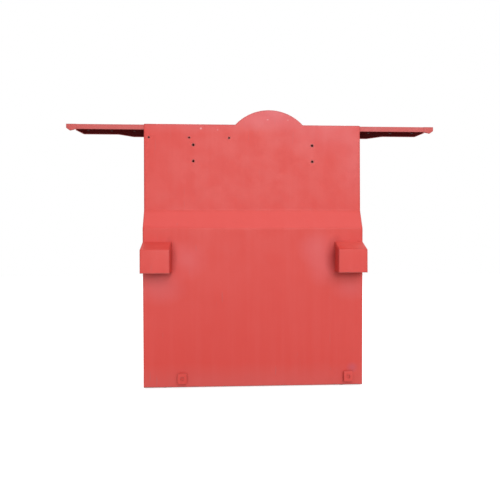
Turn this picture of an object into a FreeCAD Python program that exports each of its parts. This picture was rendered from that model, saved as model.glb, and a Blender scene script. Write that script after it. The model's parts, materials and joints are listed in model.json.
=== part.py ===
"""Free-standing water-ballasted barrier: two moulded shells round a ballast tank, under a winged deck.

Frame: +X to the right seen from the front, +Y to the back, +Z up, millimetres.
The origin is on the ground, under the middle of the whole unit's width and depth.
"""

import FreeCAD
import Part
import math
import os

V = FreeCAD.Vector
PARTS = "parts"

# ---- body, seen from the front
body_width = 860.0
body_top = 1036.0
ground_gap = 5.0
wall = 4.0
edge_radius = 5.0
lap_gap = 0.5

# ---- front face: an upper field, a sloping band, and a lower field that leans in towards the ground
band_top = 696.5
band_bottom = 622.7
band_step = 36.0
foot_step = 22.0

# ---- depth
stem_depth = 115.0
rear_step = 160.0
rear_shoulder_low = 520.0
grip_reach = 103.0
total_depth = grip_reach + stem_depth + rear_step
face_y = grip_reach - total_depth / 2
stem_rear_y = face_y + stem_depth
tank_rear_y = stem_rear_y + rear_step

# ---- swages pressed into the back of the rear shell
swage_depth = 10.0
swage_width = 110.0
swage_draft = 14.0
swage_pitch = 250.0
swage_low = 70.0
swage_high = 470.0

# ---- crest, the round guard in front of the filler
crest_radius = 184.0
crest_x = 64.5
crest_rise = 58.6
flange_depth = 26.0

# ---- side lap between the shells
side_return = 40.0
lap_depth = 28.0
joggle_length = 8.0
upstand_height = 8.0

# ---- deck and wings
deck_drop = 2.0
deck_skin = 5.0
lip_height = 22.0
front_lip_height = 20.0
rear_lip_height = 24.0
lip_wall = 4.0
wing_depth = 74.0
wing_reach = 266.0
wing_end_slant = 14.0
flare_from_side = 60.0
flare_length = 53.0
tongue_length = 35.0
tongue_thickness = 6.0
tongue_end_height = 16.0
tooth_from_tip = 15.0
tooth_drop = 4.5
liner_thickness = 3.0
liner_gap = 0.4

# ---- steel frame inside
spar_width = 30.0
spar_wall = 2.0
spar_from_wing_end = 24.0
spar_from_lip = 1.5
tube_side = 28.0
tube_wall = 2.0
plate_thickness = 4.0
foot_plate_length = 78.0
head_plate_length = 60.0

# ---- ballast tank
bearer_height = 9.0
bearer_width = 40.0
bearer_from_end = 10.0
bearer_x = 200.0
tank_wall = 4.0
tank_side_gap = 7.0
tank_front_gap = 5.0
tank_rear_gap = 7.0
tank_top = 600.0
tank_rear_corner = 500.0
tank_top_rear_y = 90.0
tank_radius = 14.0
tank_neck_height = 68.0

# ---- filler
filler_x = crest_x
filler_from_spar = 3.0
filler_bore_r = 21.0
spigot_r = filler_bore_r + 3.0
spigot_length = 49.0
rim_r = filler_bore_r + 8.0
rim_height = 16.0
filler_flange_r = rim_r + 13.0
filler_flange_t = 4.0
filler_gasket_t = 1.0
filler_screw_circle = rim_r + 7.5
filler_screw_r = 2.0
hose_wall = 4.0
hose_gap = 0.2
clamp_width = 12.0
clamp_band = 1.4

# ---- filler lid
lid_r = rim_r + 6.0
lid_plate = 5.0
lid_skirt_inner = rim_r + 1.5
lid_skirt_outer = lid_r - 0.5
lid_skirt_depth = 5.0
lid_seal_t = 1.5
lid_tab_length = 12.0
lid_tab_width = 26.0
hinge_offset = lid_r + 11.0
hinge_rise = 2.0
hinge_pin_r = 2.5
hinge_pin_gap = 0.06
knuckle_r = 6.0
knuckle_half = 7.6
ear_gap = 0.4
ear_thickness = 6.0
pin_head_r = 4.0
pin_head_t = 1.5

# ---- hand grips
grip_width = 112.0
grip_wall = 4.0
grip_bottom = 451.5
grip_face_top = 540.0
grip_roof_top = 571.0
grip_edge_radius = 2.5
grip_boss_r = 5.5
grip_boss_length = 26.0
grip_boss_from_side = 9.0
grip_boss_low = 463.0
grip_boss_high = 541.0
grip_screw_r = 2.5
grip_plate_t = 3.0
grip_plate_margin = 9.0

# ---- sign and accessory holes in the front face
sign_spread = 472.0
sign_below_top = 82.0
sign_pitch = 64.0
sign_hole_r = 4.5
sign_plate_width = 44.0
sign_plate_margin = 12.0
row_from_side = 20.0
row_pitch = 157.5
row_below_top = 53.5
row_hole_r = 3.3
row_strip_height = 24.0
row_strip_margin = 11.0
backing_t = 3.0

# ---- drains
drain_left_from_side = 150.5
drain_right_from_side = 59.0
drain_z = 40.0
bush_r = 15.0
bush_flange_r = 17.0
bush_flange_t = 3.0
bush_proud = 2.3
thread_minor_r = 11.0
thread_depth = 1.5
thread_gap = 0.45
thread_pitch = 4.0
thread_turns = 3.0
drain_seal_t = 2.0
drain_seal_inner_r = 12.8
plug_width = 37.0
plug_height = 42.0
plug_head_t = 8.0
plug_corner_r = 4.0
plug_key = 12.0
plug_key_depth = 4.0

# ---- feet and fixings
foot_r = 25.0
foot_stem_r = 6.0
foot_bulb_r = 8.0
foot_from_side = 80.0
foot_from_face = 40.0
foot_from_rear = 34.0
m8_r = 4.0
m8_head_r = 8.0
nut_across = 13.0
nut_height = 6.5
rivet_r = 2.4
rivet_head_r = 5.0
rivet_head_t = 1.5
rivet_tail_r = 4.0
rivet_tail_t = 3.0
side_rivet_count = 6
top_rivet_end = 30.0
top_rivet_pitch = 130.0
top_rivet_from_crest = 40.0
wing_screw_first = 40.0
wing_screw_pitch = 90.0
wing_screw_count = 3

# ---- places worked out from the sizes above
half_width = body_width / 2
flare_root_x = half_width + flare_from_side
flare_tip_x = flare_root_x + flare_length
wing_end_front_x = half_width + wing_reach
wing_end_rear_x = wing_end_front_x - wing_end_slant
tongue_tip_x = wing_end_front_x + tongue_length
tooth_x = tongue_tip_x - tooth_from_tip
spar_half_length = wing_end_front_x - spar_from_wing_end
wing_screw_x = [half_width + wing_screw_first + i * wing_screw_pitch for i in range(wing_screw_count)]
swage_x = (-swage_pitch, 0.0, swage_pitch)
sign_x = sign_spread / 2
sign_low = body_top - sign_below_top - sign_pitch
row_z = body_top - row_below_top
row_x = [-half_width + row_from_side + i * row_pitch for i in range(3)]
drain_x = (-half_width + drain_left_from_side, half_width - drain_right_from_side)
foot_x = half_width - foot_from_side
foot_front_y = face_y - foot_step + foot_from_face
foot_rear_y = tank_rear_y - foot_from_rear
deck_top = body_top - deck_drop
deck_under = deck_top - deck_skin
deck_bottom = deck_top - lip_height
front_lip_bottom = deck_top - front_lip_height
rear_lip_bottom = deck_top - rear_lip_height
flange_under = body_top - wall
floor_z = ground_gap
floor_top = floor_z + wall
lip_front_y = face_y + wall + lap_gap
wing_rear_y = lip_front_y + wing_depth
deck_rear_y = stem_rear_y + lap_gap + lip_wall
parting_y = face_y + side_return
side_rivet_z = [
    floor_z + (deck_bottom - floor_z) * (i + 0.6) / side_rivet_count for i in range(side_rivet_count)
]
lap_front_y = parting_y - lap_depth
rivet_y = parting_y - lap_depth / 2
inner_side_x = half_width - wall
lap_inner_x = inner_side_x - lap_gap - wall
flange_rear_y = face_y + flange_depth
liner_top = deck_bottom + liner_thickness
spar_front_y = lip_front_y + lip_wall + spar_from_lip
spar_rear_y = spar_front_y + spar_width
spar_mid_y = (spar_front_y + spar_rear_y) / 2
filler_y = spar_rear_y + filler_from_spar + spigot_r
tube_outer_x = lap_inner_x - lap_gap
tube_inner_x = tube_outer_x - tube_side
crest_z = body_top + crest_rise - crest_radius
crest_half = math.sqrt(crest_radius**2 - (body_top - crest_z) ** 2)
grip_front_y = face_y - grip_reach
grip_inner_x = half_width - grip_width
tank_half = tube_inner_x - tank_side_gap
tank_bottom = floor_top + bearer_height
tank_front_y = face_y - foot_step + wall + tank_front_gap
tank_back_y = tank_rear_y - wall - swage_depth - tank_rear_gap


def spread(start, end, pitch):
    """Evenly spaced places from start to end, about pitch apart."""
    gaps = max(1, round((end - start) / pitch))
    return [start + (end - start) * i / gaps for i in range(gaps + 1)]


crest_clear = crest_half + top_rivet_from_crest
top_rivet_x = spread(-half_width + top_rivet_end, crest_x - crest_clear, top_rivet_pitch)
top_rivet_x += spread(crest_x + crest_clear, half_width - top_rivet_end, top_rivet_pitch)


def face_y_at(z):
    """The front face's y at height z, on its outer side."""
    if z >= band_top:
        return face_y
    if z >= band_bottom:
        return face_y - band_step * (band_top - z) / (band_top - band_bottom)
    lean = (z - floor_z) / (band_bottom - floor_z)
    return face_y - foot_step - (band_step - foot_step) * lean


drain_face_y = face_y_at(drain_z)
bush_end_y = drain_face_y - bush_proud
plug_back_y = bush_end_y - drain_seal_t


# cutters run past the part by this much
sky = body_top + crest_rise + 10.0
wide = tongue_tip_x + 10.0
deep = total_depth


def box(x0, x1, y0, y1, z0, z1):
    return Part.makeBox(x1 - x0, y1 - y0, z1 - z0, V(x0, y0, z0))


def rod(r, start, end):
    """A round bar of radius r from one point to another."""
    a, b = V(*start), V(*end)
    return Part.makeCylinder(r, (b - a).Length, a, b - a)


def ring(r_out, r_in, start, end):
    return rod(r_out, start, end).cut(rod(r_in, start, end))


def prism_x(points_yz, x0, x1):
    """A solid with the outline (y, z), from x0 to x1."""
    wire = Part.makePolygon([V(x0, y, z) for y, z in points_yz + points_yz[:1]])
    return Part.Face(wire).extrude(V(x1 - x0, 0, 0))


def prism_z(points_xy, z0, z1):
    wire = Part.makePolygon([V(x, y, z0) for x, y in points_xy + points_xy[:1]])
    return Part.Face(wire).extrude(V(0, 0, z1 - z0))


def fuse(shapes):
    whole = shapes[0]
    if len(shapes) > 1:
        whole = whole.multiFuse(shapes[1:])
    return whole.removeSplitter()


def cut(shape, tools):
    return shape.cut(tools[0] if len(tools) == 1 else Part.makeCompound(tools))


def edges_where(shape, keep):
    """The straight edges whose two ends both satisfy keep."""
    return [
        e
        for e in shape.Edges
        if len(e.Vertexes) == 2 and all(keep(v.Point) for v in e.Vertexes)
    ]


def close(a, b):
    return abs(a - b) < 0.01


def mirror(shape):
    return shape.mirror(V(0, 0, 0), V(1, 0, 0))


def hexagon(across, centre, height):
    x, y, z = centre
    r = across / math.sqrt(3)
    points = [
        (x + r * math.cos(math.radians(60 * i)), y + r * math.sin(math.radians(60 * i)))
        for i in range(6)
    ]
    return prism_z(points, z, z + height)


def save(name, shapes):
    """Writes one node; shapes is one solid or a list of separate solids."""
    shapes = shapes if isinstance(shapes, list) else [shapes]
    solids = [s for shape in shapes for s in shape.Solids]
    node = solids[0] if len(solids) == 1 else Part.makeCompound(solids)
    if not node.isValid():
        print("not valid:", name)
    node.exportStep(os.path.join(PARTS, name + ".step"))
    print(f"{name}: {len(solids)} solid(s), {node.Volume / 1e3:.1f} cm3")


# ---------------------------------------------------------------- shells


def front_outline(offset, back_y):
    """The front shell's section, from its face to back_y, taken in by offset."""
    slope = math.atan2(band_step, band_top - band_bottom)
    lean = math.atan2(band_step - foot_step, band_bottom - floor_z)
    top_shift = offset * math.tan(slope / 2)
    low_shift = offset * math.tan((slope + lean) / 2)
    bottom = floor_z + (offset if offset else 0)
    return [
        (face_y + offset, body_top - offset),
        (face_y + offset, band_top - top_shift),
        (face_y - band_step + offset, band_bottom - low_shift),
        (face_y_at(bottom) + offset, bottom),
        (back_y, bottom),
        (back_y, body_top - offset),
    ]


def front_mass(offset, back_y):
    """The space that the front shell encloses, as one solid, taken in by offset."""
    x = half_width - offset
    body = prism_x(front_outline(offset, back_y), -x, x)
    crest = rod(
        crest_radius - offset,
        (crest_x, face_y + offset, crest_z),
        (crest_x, back_y, crest_z),
    )
    return fuse([body, crest.common(box(-x, x, -deep, deep, band_top, sky))])


def front_shell():
    outer = front_mass(0, parting_y)
    side_edges = edges_where(
        outer, lambda p: close(abs(p.x), half_width) and p.y < parting_y - 1
    )
    outer = outer.makeFillet(edge_radius, side_edges)
    inner = front_mass(wall, parting_y)
    # the inside runs out through the open back and the open bottom
    inner = inner.fuse(
        prism_x(
            [
                (face_y_at(floor_z) + wall, floor_z - 1),
                (face_y_at(floor_z) + wall, floor_z),
                (face_y_at(floor_top + wall) + wall, floor_top + wall),
                (parting_y + 1, floor_top + wall),
                (parting_y + 1, floor_z - 1),
            ],
            -inner_side_x,
            inner_side_x,
        )
    )
    shell = outer.cut(inner)
    # the top flange and the crest rim are shallower than the side returns
    shell = shell.cut(box(-wide, wide, flange_rear_y, parting_y + 1, flange_under, sky))
    # room for the wings on each side, and the deck opens the crest from behind
    for side in (-1, 1):
        x0, x1 = sorted((side * (half_width - edge_radius - wall), side * wide))
        shell = shell.cut(box(x0, x1, face_y + wall, parting_y + 1, deck_bottom, flange_under))
        x0, x1 = sorted((side * inner_side_x, side * wide))
        shell = shell.cut(box(x0, x1, lip_front_y - lap_gap, parting_y + 1, deck_bottom, sky))
    chord = math.sqrt((crest_radius - wall) ** 2 - (body_top - crest_z) ** 2)
    shell = shell.cut(
        box(crest_x - chord, crest_x + chord, face_y + wall, parting_y, flange_under - 1, body_top + 0.01)
    )
    tools = [hole_y(x, z, sign_hole_r) for x, z in sign_holes()]
    tools += [hole_y(x, row_z, row_hole_r) for x in row_x]
    tools += [hole_y(x, z, grip_screw_r + 0.3) for x, z in grip_screws()]
    tools += [hole_y(x, drain_z, bush_r + lap_gap) for x in drain_x]
    tools += [side_hole(side, z) for side in (-1, 1) for z in side_rivet_z]
    tools += [drill_down(x, top_rivet_y(), rivet_r, flange_under - 1) for x in top_rivet_x]
    tools += [flush_head(x, top_rivet_y()) for x in top_rivet_x]
    return cut(shell, tools)


def flush_head(x, y):
    """The sunk head of a rivet in the top flange."""
    return Part.makeCone(rivet_r, rivet_head_r, wall / 2, V(x, y, body_top - wall / 2), V(0, 0, 1))


def drill_down(x, y, r, z):
    """A drill from above down to height z."""
    return rod(r, (x, y, z), (x, y, sky))


def hole_y(x, z, r):
    """A drill through the front face and what backs it."""
    return rod(r, (x, face_y - band_step - 5, z), (x, spar_front_y + tube_wall + 1, z))


def side_hole(side, z):
    return rod(
        rivet_r,
        (side * (half_width + 5), rivet_y, z),
        (side * (tube_outer_x - tube_wall - 1), rivet_y, z),
    )


def top_rivet_y():
    return (spar_front_y + flange_rear_y) / 2


def sign_holes():
    return [(s * sign_x, sign_low + i * sign_pitch) for s in (-1, 1) for i in (0, 1)]


def grip_screws():
    near = grip_inner_x + grip_boss_from_side
    far = half_width - grip_boss_from_side
    return [(s * x, z) for s in (-1, 1) for x in (near, far) for z in (grip_boss_low, grip_boss_high)]


def rear_outline(offset):
    """The rear shell's section from the parting line back, taken in by offset."""
    slope = math.atan2(rear_step, band_top - rear_shoulder_low)
    shift = offset * math.tan(slope / 2)
    return [
        (parting_y, floor_z + offset),
        (tank_rear_y - offset, floor_z + offset),
        (tank_rear_y - offset, rear_shoulder_low - shift),
        (stem_rear_y - offset, band_top - shift),
        (stem_rear_y - offset, deck_under),
        (parting_y, deck_under),
    ]


def swage(x, offset):
    """A pressed channel in the back, with drafted sides, grown by offset."""
    w, d = swage_width / 2 + offset, swage_draft
    y0 = tank_rear_y - swage_depth - offset
    y1 = tank_rear_y + 1
    low, high = swage_low - offset, swage_high + offset

    def outline(y, grow):
        x0, x1 = x - w - grow, x + w + grow
        z0, z1 = low - grow, high + grow
        return Part.makePolygon([V(x0, y, z0), V(x1, y, z0), V(x1, y, z1), V(x0, y, z1), V(x0, y, z0)])

    grow = d * (y1 - y0) / swage_depth - d
    return Part.makeLoft([outline(y0, -d), outline(y1, grow)], True, True)


def rear_shell():
    outer = prism_x(rear_outline(0), -half_width, half_width)
    corners = edges_where(
        outer, lambda p: close(abs(p.x), half_width) and p.y > parting_y + 1
    )
    across = edges_where(
        outer,
        lambda p: close(p.y, tank_rear_y),
    )
    outer = outer.makeFillet(2 * edge_radius, corners + [e for e in across if e.Length > body_width - 1])
    inner = prism_x(rear_outline(wall), -inner_side_x, inner_side_x)
    inner = inner.fuse(box(-inner_side_x, inner_side_x, parting_y - 1, parting_y + 1, floor_top, deck_under))
    inner = inner.fuse(box(-inner_side_x, inner_side_x, parting_y - 1, stem_rear_y - wall, band_top, sky))
    for x in swage_x:
        outer = outer.cut(swage(x, 0))
        inner = inner.cut(swage(x, wall))
    shell = outer.cut(inner)
    floor_front_y = face_y_at(floor_z) + wall
    upstand = prism_x(
        [
            (floor_front_y, floor_z),
            (face_y_at(floor_top + upstand_height) + wall, floor_top + upstand_height),
            (floor_front_y + wall, floor_top + upstand_height),
            (floor_front_y + wall, floor_z),
        ],
        -inner_side_x,
        inner_side_x,
    )
    floor = box(-inner_side_x, inner_side_x, floor_front_y + 1, parting_y + 1, floor_z, floor_top)
    pieces = [shell, floor, upstand]
    for side in (-1, 1):
        x0, x1 = sorted((side * lap_inner_x, side * (inner_side_x - lap_gap)))
        pieces.append(box(x0, x1, lap_front_y, parting_y + joggle_length, floor_top, deck_bottom))
        x0, x1 = sorted((side * lap_inner_x, side * inner_side_x))
        pieces.append(box(x0, x1, parting_y, parting_y + joggle_length, floor_top, deck_bottom))
    shell = fuse(pieces)
    # the side walls stop under the wings; the back wall goes on up inside the deck's lip
    for side in (-1, 1):
        x0, x1 = sorted((side * (half_width - 3 * edge_radius), side * wide))
        shell = shell.cut(box(x0, x1, face_y, stem_rear_y + 1, deck_bottom, sky))
    tools = [side_hole(side, z) for side in (-1, 1) for z in side_rivet_z]
    for x, y in floor_bolts():
        tools.append(rod(m8_r, (x, y, 0), (x, y, floor_top + 1)))
        tools.append(countersink(x, y))
    for x, y in feet_places():
        tools.append(rod(foot_stem_r, (x, y, 0), (x, y, floor_top + 1)))
    return cut(shell, tools)


def countersink(x, y):
    return Part.makeCone(m8_head_r, m8_r, wall, V(x, y, floor_z), V(0, 0, 1))


def floor_bolts():
    x = (tube_inner_x + tube_outer_x) / 2
    reach = foot_plate_length / 2 - m8_head_r - 3
    return [(s * x, spar_mid_y + t * reach) for s in (-1, 1) for t in (-1, 1)]


def feet_places():
    return [(s * foot_x, y) for s in (-1, 1) for y in (foot_front_y, foot_rear_y)]


# ---------------------------------------------------------------- deck


def deck_outline(inset):
    """Half of the deck's plan outline, for x from 0 up, taken in by inset."""
    flare = math.atan2(deck_rear_y - wing_rear_y, flare_tip_x - flare_root_x)
    end = math.atan2(wing_end_front_x - wing_end_rear_x, wing_depth)
    shift = inset * math.tan(flare / 2)
    end_in = inset / math.cos(end)
    lean = math.tan(end)
    return [
        (0, lip_front_y + inset),
        (wing_end_front_x - end_in - inset * lean, lip_front_y + inset),
        (wing_end_rear_x - end_in + inset * lean, wing_rear_y - inset),
        (flare_tip_x - shift, wing_rear_y - inset),
        (flare_root_x - shift, deck_rear_y - inset),
        (0, deck_rear_y - inset),
    ]


def whole_outline(inset):
    half = deck_outline(inset)
    return half[:-1] + [half[-1]] + [(-x, y) for x, y in reversed(half[1:-1])]


def tongue():
    """The hooked strip past the wing's end, on the right."""
    z = deck_top
    root_x = wing_end_front_x - lip_wall
    points = [
        (root_x, z),
        (tongue_tip_x, z),
        (tongue_tip_x, z - tongue_end_height),
        (tooth_x, z - lip_height - tooth_drop),
        (wing_end_front_x + 3, z - lip_height),
        (root_x, z - lip_height),
    ]
    wire = Part.makePolygon([V(x, lip_front_y, h) for x, h in points + points[:1]])
    strip = Part.Face(wire).extrude(V(0, tongue_thickness, 0))
    ends = edges_where(strip, lambda p: close(p.x, tongue_tip_x))
    return strip.makeFillet(tongue_thickness * 0.4, [e for e in ends if e.Length > tongue_thickness + 1])


def deck():
    """The skin with a lip all round, lower at the back and ends than along the front."""
    outer = prism_z(whole_outline(0), rear_lip_bottom, deck_top)
    uprights_of_plan = [e for e in outer.Edges if close(e.Length, rear_lip_height)]
    rear_corners = [e for e in uprights_of_plan if e.Vertexes[0].Point.y > lip_front_y + 1]
    outer = outer.makeFillet(edge_radius, rear_corners)
    inner = prism_z(whole_outline(lip_wall), rear_lip_bottom - 1, deck_under)
    lip_inner_y = lip_front_y + lip_wall
    under_front = box(-wide, wide, lip_front_y - 1, lip_inner_y, rear_lip_bottom - 1, front_lip_bottom)
    solid = outer.cut(inner).cut(under_front)
    solid = fuse([solid, tongue(), mirror(tongue())])
    rebate_side = half_width + lap_gap
    rebate = box(
        -rebate_side, rebate_side, lip_front_y - 1, flange_rear_y + lap_gap, flange_under, deck_top + 1
    )
    tools = [rebate, drill_down(filler_x, filler_y, spigot_r + 1, deck_under - 1)]
    tools += [drill_down(x, y, filler_screw_r, deck_under - 1) for x, y in filler_screw_places()]
    tools += [drill_down(x, top_rivet_y(), rivet_r, deck_under - 1) for x in top_rivet_x]
    tools += [drill_down(s * x, spar_mid_y, rivet_r, deck_under - 1) for s in (-1, 1) for x in wing_screw_x]
    return cut(solid, tools)


def wing_liner():
    """The plate that closes the right wing from below."""
    inset = lip_wall + liner_gap
    plate = prism_z(whole_outline(inset), deck_bottom, liner_top)
    plate = plate.common(box(lap_inner_x + 1, wide, -deep, deep, deck_bottom, liner_top))
    tools = [drill_down(x, spar_mid_y, rivet_r, deck_bottom) for x in wing_screw_x]
    tools += [liner_countersink(x) for x in wing_screw_x]
    return cut(plate, tools)


def liner_countersink(x):
    depth = liner_thickness * 0.8
    return Part.makeCone(rivet_head_r, rivet_r, depth, V(x, spar_mid_y, deck_bottom), V(0, 0, 1))


def wing_screws(side):
    """Countersunk from below into the spar, and pan headed from above through the deck."""
    screws = []
    for x in wing_screw_x:
        low = fuse([
            liner_countersink(x),
            rod(rivet_r, (x, spar_mid_y, deck_bottom), (x, spar_mid_y, liner_top + spar_wall + 2)),
        ])
        high = fuse([
            rod(rivet_r, (x, spar_mid_y, deck_under - spar_wall - 2), (x, spar_mid_y, deck_top)),
            pan_head(x, spar_mid_y, deck_top),
        ])
        screws += [low, high]
    return [mirror(s) if side < 0 else s for s in screws]


def pan_head(x, y, z):
    head = rod(rivet_head_r, (x, y, z), (x, y, z + rivet_head_t))
    top = [e for e in head.Edges if close(e.BoundBox.ZMin, z + rivet_head_t)]
    return head.makeFillet(rivet_head_t * 0.6, top)


# ---------------------------------------------------------------- steel frame


def square_tube(x0, x1, y0, y1, z0, z1, t, along):
    outer = box(x0, x1, y0, y1, z0, z1)
    if along == "x":
        return outer.cut(box(x0 - 1, x1 + 1, y0 + t, y1 - t, z0 + t, z1 - t))
    return outer.cut(box(x0 + t, x1 - t, y0 + t, y1 - t, z0 - 1, z1 + 1))


def spar():
    tube = square_tube(
        -spar_half_length, spar_half_length, spar_front_y, spar_rear_y, liner_top, deck_under, spar_wall, "x"
    )
    tools = [drill_down(x, top_rivet_y(), rivet_r, deck_under - spar_wall - 1) for x in top_rivet_x]
    tools += [drill_down(s * x, spar_mid_y, rivet_r, deck_bottom) for s in (-1, 1) for x in wing_screw_x]
    for x in head_bolt_places():
        tools.append(rod(m8_r, (x, spar_mid_y, deck_bottom), (x, spar_mid_y, liner_top + spar_wall + 1)))
    return cut(tube, tools)


def head_bolt_places():
    x = tube_outer_x - head_plate_length + m8_head_r + 3
    return [-x, x]


def upright():
    """The right-hand post, with its foot and head plates welded on."""
    head_under = liner_top - plate_thickness
    foot_top = floor_top + plate_thickness
    tube_front_y = spar_front_y + 1
    tube_rear_y = tube_front_y + tube_side
    tube = square_tube(
        tube_inner_x, tube_outer_x, tube_front_y, tube_rear_y, foot_top, head_under, tube_wall, "z"
    )
    foot = box(
        tube_inner_x, tube_outer_x, spar_mid_y - foot_plate_length / 2, spar_mid_y + foot_plate_length / 2,
        floor_top, foot_top,
    )
    head_inner_x = tube_outer_x - head_plate_length
    head = box(head_inner_x, tube_outer_x, spar_front_y, spar_rear_y, head_under, liner_top)
    post = fuse([tube, foot, head])
    tools = [side_hole(1, z) for z in side_rivet_z]
    tools += [rod(m8_r, (abs(x), y, 0), (abs(x), y, foot_top + 1)) for x, y in floor_bolts()[2:]]
    tools.append(drill_down(head_bolt_places()[1], spar_mid_y, m8_r, head_under - 1))
    return cut(post, tools)


def upright_left():
    """The left-hand post also has the hole behind the end hole of the accessory row."""
    return cut(mirror(upright()), [hole_y(row_x[0], row_z, row_hole_r)])


def floor_bolt_set():
    solids = []
    nut_z = floor_top + plate_thickness
    for x, y in floor_bolts():
        bolt = fuse([countersink(x, y), rod(m8_r, (x, y, floor_z), (x, y, nut_z + nut_height + 2))])
        tapped = rod(m8_r, (x, y, nut_z), (x, y, nut_z + nut_height))
        nut = hexagon(nut_across, (x, y, nut_z), nut_height).cut(tapped)
        solids += [bolt, nut]
    return solids


def head_bolt_set():
    solids = []
    head_z = liner_top - plate_thickness
    nut_z = liner_top + spar_wall
    for x in head_bolt_places():
        bolt = fuse([
            hexagon(nut_across, (x, spar_mid_y, head_z - nut_height), nut_height),
            rod(m8_r, (x, spar_mid_y, head_z), (x, spar_mid_y, nut_z + nut_height + 1)),
        ])
        nut = hexagon(nut_across, (x, spar_mid_y, nut_z), nut_height).cut(
            rod(m8_r, (x, spar_mid_y, nut_z), (x, spar_mid_y, nut_z + nut_height))
        )
        solids += [bolt, nut]
    return solids


# ---------------------------------------------------------------- ballast tank and filler


def tank_section(offset):
    return [
        (tank_front_y + offset, tank_bottom + offset),
        (tank_back_y - offset, tank_bottom + offset),
        (tank_back_y - offset, tank_rear_corner - offset * 0.5),
        (tank_top_rear_y - offset * 0.5, tank_top - offset),
        (tank_front_y + offset, tank_top - offset),
    ]


def ballast_tank():
    outer = prism_x(tank_section(0), -tank_half, tank_half)
    outer = outer.makeFillet(tank_radius, outer.Edges)
    inner = prism_x(tank_section(tank_wall), -tank_half + tank_wall, tank_half - tank_wall)
    inner = inner.makeFillet(tank_radius - tank_wall, inner.Edges)
    neck_top = tank_top + tank_neck_height
    neck = rod(spigot_r, (filler_x, filler_y, tank_top - tank_wall), (filler_x, filler_y, neck_top))
    bore_start = (filler_x, filler_y, tank_top - 2 * tank_wall)
    bore = rod(spigot_r - tank_wall, bore_start, (filler_x, filler_y, neck_top + 1))
    tank = fuse([outer, neck]).cut(inner)
    tools = [bore]
    for x in drain_x:
        tools.append(rod(bush_r, (x, tank_front_y - 1, drain_z), (x, tank_front_y + tank_wall + 1, drain_z)))
    return cut(tank, tools)


def tank_bearer(side):
    x = side * bearer_x
    half = bearer_width / 2
    front_y, back_y = tank_front_y + bearer_from_end, tank_back_y - bearer_from_end
    return box(x - half, x + half, front_y, back_y, floor_top, tank_bottom)


hose_top = deck_top - spigot_length + 26.0
hose_bottom = tank_top + 24.0


def filler_hose():
    return ring(
        spigot_r + hose_gap + hose_wall,
        spigot_r + hose_gap,
        (filler_x, filler_y, hose_bottom),
        (filler_x, filler_y, hose_top),
    )


def hose_clamp(z):
    inner = spigot_r + hose_gap + hose_wall
    band = ring(inner + clamp_band, inner, (filler_x, filler_y, z), (filler_x, filler_y, z + clamp_width))
    housing = box(
        filler_x + inner + 0.3, filler_x + inner + 9, filler_y - 8, filler_y + 8, z + 1, z + clamp_width - 1
    )
    screw_x, screw_z = filler_x + inner + 5, z + clamp_width / 2
    screw = rod(2.5, (screw_x, filler_y - 14, screw_z), (screw_x, filler_y, screw_z))
    return fuse([band, housing, screw])


def filler_screw_places():
    return [
        (
            filler_x + filler_screw_circle * math.cos(math.radians(a)),
            filler_y + filler_screw_circle * math.sin(math.radians(a)),
        )
        for a in (30, 150, 210, 330)
    ]


hinge_x = filler_x - hinge_offset
rim_top = deck_top + filler_gasket_t + rim_height
hinge_z = rim_top + hinge_rise
flange_z = deck_top + filler_gasket_t


def filler_gasket():
    gasket = ring(
        filler_flange_r, spigot_r + 1, (filler_x, filler_y, deck_top), (filler_x, filler_y, flange_z)
    )
    return cut(gasket, [drill_down(x, y, filler_screw_r, deck_top - 1) for x, y in filler_screw_places()])


def filler_neck():
    c = (filler_x, filler_y)
    flange = rod(filler_flange_r, (*c, flange_z), (*c, flange_z + filler_flange_t))
    rim = rod(rim_r, (*c, flange_z), (*c, rim_top))
    spigot = rod(spigot_r, (*c, deck_top - spigot_length), (*c, flange_z + 1))
    pieces = [flange, rim, spigot]
    inner = knuckle_half + ear_gap
    for side in (-1, 1):
        y0, y1 = sorted((filler_y + side * inner, filler_y + side * (inner + ear_thickness)))
        pieces.append(box(hinge_x - knuckle_r, hinge_x + knuckle_r + 6, y0, y1, flange_z, hinge_z))
        pieces.append(rod(knuckle_r, (hinge_x, y0, hinge_z), (hinge_x, y1, hinge_z)))
    foot = box(
        hinge_x - knuckle_r, hinge_x + knuckle_r + 8, filler_y - inner - ear_thickness,
        filler_y + inner + ear_thickness, flange_z, flange_z + filler_flange_t,
    )
    neck = fuse(pieces + [foot])
    tools = [
        drill_down(*c, filler_bore_r, deck_top - spigot_length - 1),
        rod(hinge_pin_r, (hinge_x, filler_y - 40, hinge_z), (hinge_x, filler_y + 40, hinge_z)),
        # the ears stand clear of the swinging skirt
        ring(lid_skirt_outer + 1.5, rim_r, (*c, rim_top - lid_skirt_depth), (*c, rim_top + 10)),
    ]
    tools += [drill_down(x, y, filler_screw_r, deck_top) for x, y in filler_screw_places()]
    return cut(neck, tools)


def filler_screws():
    solids = []
    for x, y in filler_screw_places():
        z = flange_z + filler_flange_t
        solids.append(fuse([
            rod(filler_screw_r, (x, y, deck_under - 3), (x, y, z)),
            rod(filler_screw_r + 1.5, (x, y, z), (x, y, z + 2.4)),
        ]))
    return solids


def hinge_pin():
    reach = knuckle_half + ear_gap + ear_thickness
    y0, y1 = filler_y - reach, filler_y + reach
    return fuse([
        rod(hinge_pin_r, (hinge_x, y0, hinge_z), (hinge_x, y1, hinge_z)),
        rod(pin_head_r, (hinge_x, y0 - pin_head_t, hinge_z), (hinge_x, y0, hinge_z)),
        rod(pin_head_r, (hinge_x, y1, hinge_z), (hinge_x, y1 + pin_head_t, hinge_z)),
    ])


lid_under = rim_top + lid_seal_t


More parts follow.
